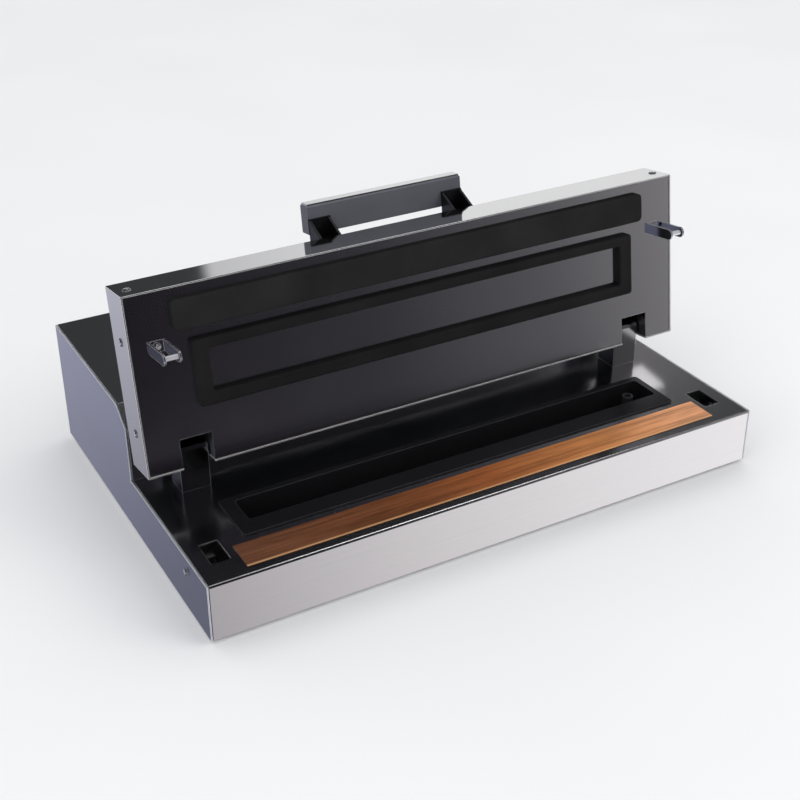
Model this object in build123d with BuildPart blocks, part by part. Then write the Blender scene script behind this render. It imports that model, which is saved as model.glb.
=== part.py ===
from build123d import *
import math
import os

# A free-standing stainless-steel vacuum sealer with its lid open.
# Millimetres. X to the right, Y to the back, Z up. The origin is the middle of the footprint,
# on the surface that the feet stand on.

os.makedirs("parts", exist_ok=True)

# ---------------------------------------------------------------- base: driving dimensions

WIDTH = 500.0  # over the side panels
DEPTH = 336.0
FOOT_HEIGHT = 3.0
SHEET = 1.2  # thickness of every stainless sheet
DECK_Z = 51.0  # top of the work deck
HOUSING_Z = 112.5  # top of the rear housing
STEP_Y = -10.4  # front face of the rear housing
CHAMFER_Z = 98.5  # where the housing's chamfer starts, on its front face
CHAMFER_Y = 8.4  # where the chamfer ends, on the housing's top
BACK_INSET = 6.0  # the back panel stands inside the hood of the rear cover
SEAM = 0.6  # gap between a cover and a side panel
BEND = 2.0  # outer radius of a bend
LAP = 14.0  # the deck runs this far under the rear cover
RUN_FIT = 0.05  # radial clearance of a turning pin
SLIP = 0.1  # radial clearance of a hole round a screw

SIDE_X = WIDTH / 2
INNER_X = SIDE_X - SHEET
COVER_X = INNER_X - SEAM
FRONT_Y = -DEPTH / 2
BACK_Y = DEPTH / 2
PANEL_Y = BACK_Y - BACK_INSET  # outer face of the back panel
UNDERSIDE_Z = DECK_Z - SHEET
CEILING_Z = HOUSING_Z - SHEET
PAN_Z = FOOT_HEIGHT + SHEET  # top of the bottom pan

FOOT_RADIUS = 9.0
FOOT_STEM = 3.2
FOOT_PLACES = [(x, y) for x in (-225.0, 225.0) for y in (-143.0, 143.0)]

SIDE_SCREW_Y = -127.4
SIDE_SCREW_Z = 39.0
HEAD_RADIUS = 3.4
HEAD_HEIGHT = 1.8
SHANK_RADIUS = 1.7
SHANK_LENGTH = 8.0

# ---------------------------------------------------------------- work deck

LATCH_X = 228.7
LATCH_Y = -131.0
LATCH_WIDTH = 15.0
LATCH_LENGTH = 26.0

SEAL_Y = -146.0
TAPE_WIDTH = 28.0
TAPE_HALF = 215.0
TAPE_THICK = 0.6
TAPE_TOP = DECK_Z + 1.4
CARRIER_HALF = 211.0
CARRIER_FLANGE = 0.8
STEM_HALF = 204.0
STEM_WIDTH = 20.0
STEM_BOTTOM = 36.0
RIBBON_WIDTH = 4.0
RIBBON_THICK = 0.2
LEG_X = 206.0  # outer face of the element's legs
TERMINAL_BOTTOM = 30.0

TROUGH_HALF = 202.0
TROUGH_FRONT = -124.0
TROUGH_BACK = -72.5
TROUGH_RIM = 1.4
TUB_HALF = 193.5
TUB_X = 3.0  # the well sits a little to the right
TUB_FRONT = -107.0
TUB_BACK = -78.0
TUB_WALL = 2.0
TUB_FLOOR = 25.0
PORT_X = 178.0
PORT_Y = -92.0
PORT_TOP = 49.0
HOSE_Z = 16.0
HOSE_RADIUS = 4.0
HOSE_BORE = 2.5
BARB_RADIUS = HOSE_BORE - RUN_FIT
BARB_LENGTH = 8.0
COLLAR_RADIUS = 4.5
COLLAR_LENGTH = 3.0

# ---------------------------------------------------------------- hinge and lid

LEAN = math.radians(8.2)  # the open lid leans back by this much
AXIS_Y = -31.36
AXIS_Z = 84.18
AXIS_H = 8.556  # hinge axis from the lid's rear edge
AXIS_D = 26.48  # hinge axis from the lid's inner face
PIN_RADIUS = 3.0
BUSH_RADIUS = 4.5
BUSH_FLANGE = 6.0
BUSH_FLANGE_THICK = 0.8

HINGE_X = 208.5
BRACKET_WIDTH = 24.0
BRACKET_FRONT = -46.3
BRACKET_BACK = AXIS_Y + 7.3
BRACKET_TOP = AXIS_Z + 7.22
BRACKET_SCREW_Y = (-40.5, -29.5)
BRACKET_SCREW_RADIUS = 2.4
BRACKET_SCREW_HEAD = 4.2
BRACKET_SCREW_REACH = 12.0

LID_HEIGHT = 145.2  # from the lid's rear edge to its front edge
LID_THICK = 36.65
LID_ORIGIN = (0.0, -58.79, 79.49)
LID = Plane(origin=LID_ORIGIN, x_dir=(1, 0, 0), z_dir=(0, -math.cos(LEAN), math.sin(LEAN)))
LID_SIDE = Plane(origin=LID_ORIGIN, x_dir=(0, math.cos(LEAN), -math.sin(LEAN)), z_dir=(1, 0, 0))
# On LID the coordinates are X and the height from the lid's rear edge, and the plane's normal
# points out of the inner face, so a depth d into the lid is LID.offset(-d).
# On LID_SIDE they are the depth and the height.

NOTCH_WIDTH = 26.0
NOTCH_HEIGHT = 24.5
INNER_DEPTH = 0.6  # the inner panel lies this far inside the lid's rim
INNER_GAP = 0.3
INNER_FACE = INNER_DEPTH + SHEET
FLANGE_DEPTH = 20.0
SKIN_DEPTH = LID_THICK - SHEET

EAR_NEAR = 13.5
EAR_THICK = 2.0
EAR_HEIGHT = 22.0
PIN_HEAD = 4.2
PIN_HEAD_THICK = 1.4

SOFT_RAISE = 5.0  # foam and gasket stand this far out of the lid's rim
FOAM_HALF = 215.5
FOAM_LOW = 111.0
FOAM_HIGH = 135.5
GASKET_HALF = 203.3
GASKET_LOW = 48.0
GASKET_HIGH = 102.0
GASKET_HOLE_HALF = 190.3
GASKET_HOLE_LOW = 58.6
GASKET_HOLE_HIGH = 93.0
GASKET_CORNER = 5.0
BEAM_HALF = 220.0
BEAM_LOW = 113.0
BEAM_HIGH = 133.0
BEAM_SHEET = 1.5
BEAM_DEPTH = 18.0

STIRRUP_WIDTH = 13.6
STIRRUP_CHEEK = 1.5
STIRRUP_TIP = 4.5
STIRRUP_PIN_H = 102.7
STIRRUP_REACH = 31.0  # latch pin from the lid's rim
STIRRUP_SEAT = INNER_DEPTH - STIRRUP_CHEEK  # depth of the stirrup web's outer face
LATCH_PIN_RADIUS = 2.0

LID_EDGE_SCREW_X = 241.0
LID_EDGE_SCREW_D = 13.0
LID_SIDE_SCREWS = ((13.0, 34.0), (14.0, 107.0))  # depth and height

HANDLE_HALF = 72.0
HANDLE_NEAR = 58.0
HANDLE_FAR = 70.0
HANDLE_LOW = 143.5
HANDLE_HIGH = 167.0
HANDLE_TRIM = 1.3
HANDLE_BEVEL = 0.9
HANDLE_FOOT_X = 52.5
HANDLE_FOOT_WIDTH = 19.0
HANDLE_FOOT_PLATE = 2.0
HANDLE_FOOT_LOW = 122.0
HANDLE_FOOT_HIGH = 143.4
HANDLE_FOOT_END_LOW = 130.0
HANDLE_FOOT_END_HIGH = 156.5

# ---------------------------------------------------------------- catches

CATCH_PIVOT_Y = -106.0
CATCH_PIVOT_Z = 24.0
CATCH_PIN = 2.0
CATCH_THICK = 6.0
CATCH_SWING = 25.0
CATCH_PLATE = 1.5
CATCH_PLATE_NEAR = 8.0
CATCH_PLATE_TOP = 30.0

SWITCH_X = 234.75
SWITCH_TOP = 19.0
PLUNGER_TOP = 21.7
PLUNGER_RADIUS = 1.2

# ---------------------------------------------------------------- pump, valve and transformer

PUMP_Y = 90.0
PUMP_Z = 52.0
MOTOR_RADIUS = 30.0
MOTOR_WALL = 2.0
MOTOR_LEFT = -72.0
CRANK_LEFT = 10.0
CRANK_WIDTH = 44.0
CRANK_SIZE = 60.0
CRANK_WALL = 4.0
ROTOR_RADIUS = 18.0
SHAFT_RADIUS = 3.0
HEAD_SIZE = 16.0
HEAD_PORT_Z = 40.0

VALVE_X = PORT_X
VALVE_Y = 30.0
VALVE_SIZE = 22.0

CORE_X = 150.0
CORE_Y = 90.0
CORE_WIDTH = 66.0
CORE_DEPTH = 36.0
CORE_HEIGHT = 54.0
CORE_LEG = 11.0

# ---------------------------------------------------------------- controls on the housing's top

FASCIA_Y = 60.0
FASCIA_WIDTH = 170.0
FASCIA_DEPTH = 60.0
FASCIA_TOP = HOUSING_Z + 1.3
BUTTON_X = {"vacuum_button": -55.0, "seal_button": -25.0, "stop_button": 5.0}
BUTTON_WIDTH = 18.0
BUTTON_DEPTH = 11.0
BUTTON_GAP = 0.4
BUTTON_TOP = FASCIA_TOP + 1.8
BUTTON_FLANGE_BOTTOM = 108.9
BUTTON_FLANGE_TOP = 110.6
BUTTON_STEM_BOTTOM = 97.0
KNOB_X = 50.0
KNOB_RADIUS = 15.0
KNOB_HEIGHT = 14.0
KNOB_SHAFT = 3.0
LENS_RADIUS = 2.4
LENS_Y = 78.0
BOARD_Z = 92.0
BOARD_THICK = 1.6
BOARD_TOP = BOARD_Z + BOARD_THICK
BOARD_WIDTH = 150.0
BOARD_DEPTH = 50.0
BOARD_Y = 59.0

# ---------------------------------------------------------------- back panel

INLET_X = 185.0
ROCKER_X = 130.0
BACK_PARTS_Z = 42.0
INLET_BODY = (27.0, 20.0)
INLET_CAVITY = (24.0, 15.5)
SWITCH_BODY = (19.0, 27.0)
SWITCH_CAVITY = (15.0, 23.0)
ROCKER_TILT = 8.0
FAN_X = -150.0
FAN_Z = 60.0
FAN_SIZE = 60.0
FAN_DEPTH = 15.0
FAN_HOLE = 28.5


def block(x0, x1, y0, y1, z0, z1, mode=Mode.ADD):
    """A box between two corners, added to the open part."""
    with Locations(((x0 + x1) / 2, (y0 + y1) / 2, (z0 + z1) / 2)):
        Box(x1 - x0, y1 - y0, z1 - z0, mode=mode)


def rod(start, direction, radius, length, mode=Mode.ADD):
    """A round rod from a point along a direction, added to the open part."""
    with Locations(Plane(origin=start, z_dir=direction)):
        Cylinder(radius, length, align=(Align.CENTER, Align.CENTER, Align.MIN), mode=mode)


def on_lid(x, height, depth):
    """The point of the whole object at a place on the lid."""
    return LID.from_local_coords((x, height, -depth))


def screw(head_radius, head_height, shank_radius, shank_length):
    """A pan-head screw with a cross recess: its seat at the origin, its head along +Z."""
    recess = 0.55 * head_height
    with BuildPart() as body:
        with BuildSketch(Plane.XZ):
            with BuildLine():
                Line((0, head_height), (0, -shank_length))
                Line((0, -shank_length), (shank_radius, -shank_length))
                Line((shank_radius, -shank_length), (shank_radius, 0))
                Line((shank_radius, 0), (head_radius, 0))
                Line((head_radius, 0), (head_radius, 0.35 * head_height))
                Spline(
                    (head_radius, 0.35 * head_height),
                    (0, head_height),
                    tangents=[(0, 1), (-1, 0)],
                    tangent_scalars=[0.8, 1.2],
                )
            make_face()
        revolve(axis=Axis.Z)
        with BuildSketch(Plane.XY.offset(head_height)):
            Rectangle(1.15 * head_radius, 0.26 * head_radius)
            Rectangle(0.26 * head_radius, 1.15 * head_radius)
        extrude(amount=-recess, mode=Mode.SUBTRACT)
    return body.part


# ================================================================ housing


def make_side_panel(side):
    """A flat side panel: step and chamfer in its outline, reliefs at the bends, a return flange."""
    relief = 1.1
    with BuildPart() as panel:
        with BuildSketch(Plane.YZ.offset(side * SIDE_X)):
            with BuildLine():
                Polyline(
                    (FRONT_Y, FOOT_HEIGHT),
                    (FRONT_Y, DECK_Z),
                    (STEP_Y, DECK_Z),
                    (STEP_Y, CHAMFER_Z),
                    (CHAMFER_Y, HOUSING_Z),
                    (BACK_Y, HOUSING_Z),
                    (BACK_Y, FOOT_HEIGHT),
                    close=True,
                )
            make_face()
            with Locations((STEP_Y, DECK_Z), (STEP_Y, CHAMFER_Z), (CHAMFER_Y, HOUSING_Z)):
                Circle(relief, mode=Mode.SUBTRACT)
            with Locations((SIDE_SCREW_Y, SIDE_SCREW_Z)):
                Circle(SHANK_RADIUS + SLIP, mode=Mode.SUBTRACT)
        extrude(amount=-side * SHEET)
        flange = sorted((side * (INNER_X - 10.0), side * INNER_X))
        block(*flange, 25.0, 150.0, CEILING_Z - SHEET, CEILING_Z)
    return panel


for side, name in ((-1, "left_side_panel"), (1, "right_side_panel")):
    side_panel = make_side_panel(side)
    side_panel.part.label = name
    export_step(side_panel.part, f"parts/{name}.step")

with BuildPart() as front_cover:
    with BuildSketch(Plane.YZ):
        with BuildLine():
            Polyline(
                (FRONT_Y, FOOT_HEIGHT),
                (FRONT_Y, DECK_Z),
                (STEP_Y + LAP, DECK_Z),
                (STEP_Y + LAP, UNDERSIDE_Z),
                (FRONT_Y + SHEET, UNDERSIDE_Z),
                (FRONT_Y + SHEET, FOOT_HEIGHT),
                close=True,
            )
        make_face()
    extrude(amount=COVER_X, both=True)
    bends = front_cover.edges().filter_by(Axis.X)
    fillet(bends.sort_by_distance((0, FRONT_Y, DECK_Z))[0], BEND)
    bends = front_cover.edges().filter_by(Axis.X)
    fillet(bends.sort_by_distance((0, FRONT_Y + SHEET, UNDERSIDE_Z))[0], BEND - SHEET)
    for side in (-1, 1):
        flange = sorted((side * (COVER_X - SHEET), side * COVER_X))
        block(*flange, FRONT_Y + 8.0, STEP_Y + LAP, 30.0, UNDERSIDE_Z)
    with BuildSketch(Plane.XY.offset(DECK_Z)):
        with Locations((-LATCH_X, LATCH_Y), (LATCH_X, LATCH_Y)):
            RectangleRounded(LATCH_WIDTH, LATCH_LENGTH, 0.8)
        with Locations((0, SEAL_Y)):
            Rectangle(2 * (LEG_X + 3.0), STEM_WIDTH + 1.0)
        with Locations((TUB_X, (TUB_FRONT + TUB_BACK) / 2)):
            Rectangle(2 * (TUB_HALF + TUB_WALL + 0.5), TUB_BACK - TUB_FRONT + 2 * TUB_WALL + 1.0)
        for side in (-1, 1):
            with Locations(*[(side * HINGE_X, y) for y in BRACKET_SCREW_Y]):
                Circle(BRACKET_SCREW_RADIUS + SLIP)
    extrude(amount=-2 * SHEET, mode=Mode.SUBTRACT)
    for side in (-1, 1):
        start = (side * (COVER_X - 5), SIDE_SCREW_Y, SIDE_SCREW_Z)
        rod(start, (side, 0, 0), SHANK_RADIUS + SLIP, 6, Mode.SUBTRACT)
front_cover.part.label = "front_cover"
export_step(front_cover.part, "parts/front_cover.step")

with BuildPart() as rear_cover:
    with BuildSketch(Plane.YZ):
        with BuildLine():
            Polyline(
                (STEP_Y + LAP - 2.0, DECK_Z),
                (STEP_Y, DECK_Z),
                (STEP_Y, CHAMFER_Z),
                (CHAMFER_Y, HOUSING_Z),
                (BACK_Y, HOUSING_Z),
            )
            offset(amount=SHEET, side=Side.RIGHT)
        make_face()
    extrude(amount=COVER_X, both=True)
    with BuildSketch(Plane.XY.offset(HOUSING_Z)):
        with Locations(*[(x, FASCIA_Y) for x in BUTTON_X.values()]):
            Rectangle(BUTTON_WIDTH + 2 * BUTTON_GAP, BUTTON_DEPTH + 2 * BUTTON_GAP)
        with Locations((KNOB_X, FASCIA_Y)):
            Circle(KNOB_SHAFT + BUTTON_GAP)
        with Locations(*[(x, LENS_Y) for x in BUTTON_X.values()]):
            Circle(LENS_RADIUS + SLIP)
    extrude(amount=-2 * SHEET, mode=Mode.SUBTRACT)
    for place in ((0, STEP_Y, CHAMFER_Z), (0, CHAMFER_Y, HOUSING_Z)):
        fillet(rear_cover.edges().filter_by(Axis.X).sort_by_distance(place)[0], BEND)
rear_cover.part.label = "rear_cover"
export_step(rear_cover.part, "parts/rear_cover.step")

with BuildPart() as back_panel:
    with BuildSketch(Plane.XZ.offset(-PANEL_Y)):
        with Locations((0, (PAN_Z + CEILING_Z) / 2)):
            Rectangle(2 * INNER_X, CEILING_Z - PAN_Z)
        with Locations((FAN_X, FAN_Z)):
            Circle(FAN_HOLE, mode=Mode.SUBTRACT)
        with Locations((INLET_X, BACK_PARTS_Z)):
            Rectangle(INLET_BODY[0] + 0.4, INLET_BODY[1] + 0.4, mode=Mode.SUBTRACT)
        with Locations((ROCKER_X, BACK_PARTS_Z)):
            Rectangle(SWITCH_BODY[0] + 0.4, SWITCH_BODY[1] + 0.4, mode=Mode.SUBTRACT)
        with Locations((0, FAN_Z)):
            with GridLocations(11.0, 34.0, 12, 2):
                SlotOverall(26.0, 4.0, rotation=90, mode=Mode.SUBTRACT)
    extrude(amount=SHEET)
back_panel.part.label = "back_panel"
export_step(back_panel.part, "parts/back_panel.step")

with BuildPart() as bottom_pan:
    with BuildSketch(Plane.XY.offset(FOOT_HEIGHT)):
        with Locations((0, (FRONT_Y + SHEET + PANEL_Y) / 2)):
            Rectangle(2 * INNER_X, PANEL_Y - FRONT_Y - SHEET)
        with Locations(*FOOT_PLACES):
            Circle(FOOT_STEM + SLIP, mode=Mode.SUBTRACT)
    extrude(amount=SHEET)
    for side in (-1, 1):
        lip = sorted((side * (INNER_X - SHEET), side * INNER_X))
        block(*lip, FRONT_Y + 10.0, PANEL_Y - 10.0, PAN_Z, PAN_Z + 12.0)
bottom_pan.part.label = "bottom_pan"
export_step(bottom_pan.part, "parts/bottom_pan.step")

with BuildPart() as rubber_feet:
    with Locations(*FOOT_PLACES):
        Cylinder(FOOT_RADIUS, FOOT_HEIGHT, align=(Align.CENTER, Align.CENTER, Align.MIN))
    chamfer(rubber_feet.edges().group_by(Axis.Z)[0], 0.8)
    with Locations(*[(x, y, FOOT_HEIGHT) for x, y in FOOT_PLACES]):
        Cylinder(FOOT_STEM, SHEET, align=(Align.CENTER, Align.CENTER, Align.MIN))
    with Locations(*[(x, y, PAN_Z) for x, y in FOOT_PLACES]):
        Cone(FOOT_STEM + 1.0, FOOT_STEM - 1.0, 4.0, align=(Align.CENTER, Align.CENTER, Align.MIN))
rubber_feet.part.label = "rubber_feet"
export_step(rubber_feet.part, "parts/rubber_feet.step")

small_screw = screw(HEAD_RADIUS, HEAD_HEIGHT, SHANK_RADIUS, SHANK_LENGTH)
bracket_screw = screw(BRACKET_SCREW_HEAD, 2.6, BRACKET_SCREW_RADIUS, SHEET + BRACKET_SCREW_REACH)

with BuildPart() as base_screws:
    for side in (-1, 1):
        with Locations(Plane(origin=(side * SIDE_X, SIDE_SCREW_Y, SIDE_SCREW_Z), z_dir=(side, 0, 0))):
            add(small_screw)
        for y in BRACKET_SCREW_Y:
            with Locations(Plane(origin=(side * HINGE_X, y, UNDERSIDE_Z), z_dir=(0, 0, -1))):
                add(bracket_screw)
base_screws.part.label = "base_screws"
export_step(base_screws.part, "parts/base_screws.step")

# ================================================================ seal bar

with BuildPart() as seal_bar_carrier:
    block(-STEM_HALF, STEM_HALF, SEAL_Y - STEM_WIDTH / 2, SEAL_Y + STEM_WIDTH / 2, STEM_BOTTOM, DECK_Z)
    block(
        -CARRIER_HALF,
        CARRIER_HALF,
        SEAL_Y - TAPE_WIDTH / 2 + 1.0,
        SEAL_Y + TAPE_WIDTH / 2 - 1.0,
        DECK_Z,
        DECK_Z + CARRIER_FLANGE,
    )
    for side in (-1, 1):
        slot = sorted((side * (LEG_X - 1.0), side * (LEG_X + 1.0)))
        block(*slot, SEAL_Y - 3.0, SEAL_Y + 3.0, STEM_BOTTOM, DECK_Z + 2.0, Mode.SUBTRACT)
seal_bar_carrier.part.label = "seal_bar_carrier"
export_step(seal_bar_carrier.part, "parts/seal_bar_carrier.step")

RIBBON_BOTTOM = DECK_Z + CARRIER_FLANGE
with BuildPart() as heating_element:
    with BuildSketch(Plane.XZ.offset(-(SEAL_Y - RIBBON_WIDTH / 2))):
        with BuildLine():
            Polyline(
                (-LEG_X, TERMINAL_BOTTOM + 2.0),
                (-LEG_X, RIBBON_BOTTOM + RIBBON_THICK),
                (LEG_X, RIBBON_BOTTOM + RIBBON_THICK),
                (LEG_X, TERMINAL_BOTTOM + 2.0),
                (LEG_X - RIBBON_THICK, TERMINAL_BOTTOM + 2.0),
                (LEG_X - RIBBON_THICK, RIBBON_BOTTOM),
                (-LEG_X + RIBBON_THICK, RIBBON_BOTTOM),
                (-LEG_X + RIBBON_THICK, TERMINAL_BOTTOM + 2.0),
                close=True,
            )
        make_face()
    extrude(amount=-RIBBON_WIDTH)
heating_element.part.label = "heating_element"
export_step(heating_element.part, "parts/heating_element.step")

with BuildPart() as element_terminals:
    for side in (-1, 1):
        body = sorted((side * LEG_X, side * (LEG_X + 6.0)))
        block(*body, SEAL_Y - 4.0, SEAL_Y + 4.0, TERMINAL_BOTTOM, TERMINAL_BOTTOM + 8.0)
        rod((side * (LEG_X + 6.0), SEAL_Y, TERMINAL_BOTTOM + 4.0), (side, 0, 0), 2.6, 2.0)
element_terminals.part.label = "element_terminals"
export_step(element_terminals.part, "parts/element_terminals.step")

with BuildPart() as ptfe_tape:
    block(
        -TAPE_HALF,
        TAPE_HALF,
        SEAL_Y - TAPE_WIDTH / 2,
        SEAL_Y + TAPE_WIDTH / 2,
        TAPE_TOP - TAPE_THICK,
        TAPE_TOP,
    )
    fillet(ptfe_tape.edges().filter_by(Axis.X).group_by(Axis.Z)[-1], 0.4)
    block(
        -LEG_X - 0.1,
        LEG_X + 0.1,
        SEAL_Y - RIBBON_WIDTH / 2 - 0.1,
        SEAL_Y + RIBBON_WIDTH / 2 + 0.1,
        TAPE_TOP - TAPE_THICK,
        RIBBON_BOTTOM + RIBBON_THICK + 0.01,
        Mode.SUBTRACT,
    )
ptfe_tape.part.label = "ptfe_tape"
export_step(ptfe_tape.part, "parts/ptfe_tape.step")

# ================================================================ vacuum trough

TUB_Y = (TUB_FRONT + TUB_BACK) / 2
TUB_DEPTH = TUB_BACK - TUB_FRONT
with BuildPart() as vacuum_trough:
    with BuildSketch(Plane.XY.offset(DECK_Z)):
        with Locations((0, (TROUGH_FRONT + TROUGH_BACK) / 2)):
            RectangleRounded(2 * TROUGH_HALF, TROUGH_BACK - TROUGH_FRONT, 3.0)
    extrude(amount=TROUGH_RIM)
    with BuildSketch(Plane.XY.offset(TUB_FLOOR - TUB_WALL)):
        with Locations((TUB_X, TUB_Y)):
            RectangleRounded(2 * (TUB_HALF + TUB_WALL), TUB_DEPTH + 2 * TUB_WALL, 5.0)
    extrude(amount=DECK_Z - TUB_FLOOR + TUB_WALL)
    with BuildSketch(Plane.XY.offset(DECK_Z + TROUGH_RIM)):
        with Locations((TUB_X, TUB_Y)):
            RectangleRounded(2 * TUB_HALF, TUB_DEPTH, 3.0)
    extrude(amount=TUB_FLOOR - DECK_Z - TROUGH_RIM, mode=Mode.SUBTRACT)
    rod((PORT_X, PORT_Y, TUB_FLOOR - TUB_WALL - 1), (0, 0, 1), 5.0 + SLIP, TUB_WALL + 2, Mode.SUBTRACT)
vacuum_trough.part.label = "vacuum_trough"
export_step(vacuum_trough.part, "parts/vacuum_trough.step")

with BuildPart() as suction_port:
    rod((PORT_X, PORT_Y, HOSE_Z - 6.0), (0, 0, 1), 5.0, PORT_TOP - HOSE_Z + 6.0)
    rod((PORT_X, PORT_Y, TUB_FLOOR), (0, 0, 1), 7.0, 2.0)
    rod((PORT_X, PORT_Y, HOSE_Z), (0, 1, 0), COLLAR_RADIUS, 5.0 + COLLAR_LENGTH)
    rod((PORT_X, PORT_Y, HOSE_Z), (0, 1, 0), BARB_RADIUS, 5.0 + COLLAR_LENGTH + BARB_LENGTH)
    rod((PORT_X, PORT_Y, HOSE_Z), (0, 0, 1), 2.8, PORT_TOP - HOSE_Z + 1, Mode.SUBTRACT)
    rod((PORT_X, PORT_Y, HOSE_Z), (0, 1, 0), 1.4, 8.0 + COLLAR_LENGTH + BARB_LENGTH, Mode.SUBTRACT)
    fillet(suction_port.edges().group_by(Axis.Z)[-1], 0.6)
suction_port.part.label = "suction_port"
export_step(suction_port.part, "parts/suction_port.step")

# ================================================================ hinge brackets and bushes


def make_hinge_bracket(side):
    """A solid bracket on the deck, rounded at its top, bored for the bushes and its screws."""
    with BuildPart() as bracket:
        with BuildSketch(Plane.YZ.offset(side * HINGE_X)) as outline:
            with Locations(((BRACKET_FRONT + BRACKET_BACK) / 2, (DECK_Z + BRACKET_TOP) / 2)):
                Rectangle(BRACKET_BACK - BRACKET_FRONT, BRACKET_TOP - DECK_Z)
            fillet(outline.vertices().group_by(Axis.Y)[-1].sort_by(Axis.X)[-1], 7.2)
            fillet(outline.vertices().sort_by_distance((BRACKET_FRONT, BRACKET_TOP))[0], 4.5)
            with Locations((AXIS_Y, AXIS_Z)):
                Circle(BUSH_RADIUS + 0.02, mode=Mode.SUBTRACT)
        extrude(amount=BRACKET_WIDTH / 2, both=True)
        for y in BRACKET_SCREW_Y:
            rod(
                (side * HINGE_X, y, DECK_Z - 1.0),
                (0, 0, 1),
                BRACKET_SCREW_RADIUS + RUN_FIT,
                BRACKET_SCREW_REACH + 2.0,
                Mode.SUBTRACT,
            )
    return bracket


for side, name in ((-1, "left_hinge_bracket"), (1, "right_hinge_bracket")):
    hinge_bracket = make_hinge_bracket(side)
    hinge_bracket.part.label = name
    export_step(hinge_bracket.part, f"parts/{name}.step")

with BuildPart() as hinge_bushes:
    for centre in (-HINGE_X, HINGE_X):
        for out in (-1, 1):
            mouth = centre + out * BRACKET_WIDTH / 2
            rod((mouth, AXIS_Y, AXIS_Z), (-out, 0, 0), BUSH_RADIUS, 11.0)
            rod((mouth, AXIS_Y, AXIS_Z), (out, 0, 0), BUSH_FLANGE, BUSH_FLANGE_THICK)
        rod(
            (centre - BRACKET_WIDTH, AXIS_Y, AXIS_Z),
            (1, 0, 0),
            PIN_RADIUS + RUN_FIT,
            2 * BRACKET_WIDTH,
            Mode.SUBTRACT,
        )
hinge_bushes.part.label = "hinge_bushes"
export_step(hinge_bushes.part, "parts/hinge_bushes.step")

# ================================================================ catches under the latch holes


def make_catch_hook(side):
    """The hook in its engaged place, turned back about its pivot by the catch's swing."""
    with BuildPart() as hook:
        with BuildSketch(Plane.YZ.offset(side * LATCH_X)):
            with BuildLine():
                Polyline(
                    (CATCH_PIVOT_Y - 5.0, CATCH_PIVOT_Z),
                    (CATCH_PIVOT_Y - 5.0, CATCH_PIVOT_Z + 5.4),
                    (CATCH_PIVOT_Y - 23.0, CATCH_PIVOT_Z + 5.4),
                    (CATCH_PIVOT_Y - 24.0, CATCH_PIVOT_Z + 9.0),
                    (CATCH_PIVOT_Y - 14.0, CATCH_PIVOT_Z + 14.0),
                    (CATCH_PIVOT_Y + 2.0, CATCH_PIVOT_Z + 13.0),
                    (CATCH_PIVOT_Y + 5.0, CATCH_PIVOT_Z),
                    close=True,
                )
            make_face()
            with Locations((CATCH_PIVOT_Y, CATCH_PIVOT_Z)):
                Circle(5.5)
                Circle(CATCH_PIN + RUN_FIT, mode=Mode.SUBTRACT)
        extrude(amount=CATCH_THICK / 2, both=True)
    pivot = Axis((0, CATCH_PIVOT_Y, CATCH_PIVOT_Z), (1, 0, 0))
    return hook.part.rotate(pivot, -CATCH_SWING)


for side, name in ((-1, "left_catch_hook"), (1, "right_catch_hook")):
    catch_hook = make_catch_hook(side)
    catch_hook.label = name
    export_step(catch_hook, f"parts/{name}.step")

with BuildPart() as catch_brackets:
    far = CATCH_PLATE_NEAR + CATCH_PLATE
    for centre in (-LATCH_X, LATCH_X):
        block(centre - far, centre + far, -113.0, -98.0, PAN_Z, PAN_Z + CATCH_PLATE)
        for out in (-1, 1):
            plate = sorted((centre + out * CATCH_PLATE_NEAR, centre + out * far))
            block(*plate, -112.0, -100.0, PAN_Z, CATCH_PLATE_TOP)
        rod(
            (centre - 2 * far, CATCH_PIVOT_Y, CATCH_PIVOT_Z),
            (1, 0, 0),
            CATCH_PIN + RUN_FIT,
            4 * far,
            Mode.SUBTRACT,
        )
catch_brackets.part.label = "catch_brackets"
export_step(catch_brackets.part, "parts/catch_brackets.step")

with BuildPart() as catch_pivots:
    for centre in (-LATCH_X, LATCH_X):
        rod((centre - far, CATCH_PIVOT_Y, CATCH_PIVOT_Z), (1, 0, 0), CATCH_PIN, 2 * far)
        for out in (-1, 1):
            rod((centre + out * far, CATCH_PIVOT_Y, CATCH_PIVOT_Z), (out, 0, 0), 3.2, 1.0)
catch_pivots.part.label = "catch_pivots"
export_step(catch_pivots.part, "parts/catch_pivots.step")

LEAF = 0.5
with BuildPart() as catch_springs:
    for centre in (-LATCH_X, LATCH_X):
        block(centre - 2.5, centre + 2.5, -95.5, -86.0, PAN_Z, PAN_Z + LEAF)
        block(centre - 2.5, centre + 2.5, -95.5, -95.5 + LEAF, PAN_Z, 34.0)
catch_springs.part.label = "catch_springs"
export_step(catch_springs.part, "parts/catch_springs.step")

with BuildPart() as micro_switch:
    block(SWITCH_X - 3.2, SWITCH_X + 3.2, -135.5, -115.5, PAN_Z, SWITCH_TOP)
    rod(
        (SWITCH_X, LATCH_Y + 5.5, SWITCH_TOP - 6.0),
        (0, 0, 1),
        PLUNGER_RADIUS + SLIP,
        10.0,
        Mode.SUBTRACT,
    )
    for y in (-131.5, -119.5):
        rod((SWITCH_X - 5.0, y, 10.0), (1, 0, 0), 1.2, 10.0, Mode.SUBTRACT)
micro_switch.part.label = "micro_switch"
export_step(micro_switch.part, "parts/micro_switch.step")

with BuildPart() as switch_plunger:
    start = (SWITCH_X, LATCH_Y + 5.5, SWITCH_TOP - 4.0)
    rod(start, (0, 0, 1), PLUNGER_RADIUS, PLUNGER_TOP - SWITCH_TOP + 4.0)
    fillet(switch_plunger.edges().group_by(Axis.Z)[-1], 0.5)
switch_plunger.part.label = "switch_plunger"
export_step(switch_plunger.part, "parts/switch_plunger.step")

# ================================================================ vacuum pump

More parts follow.
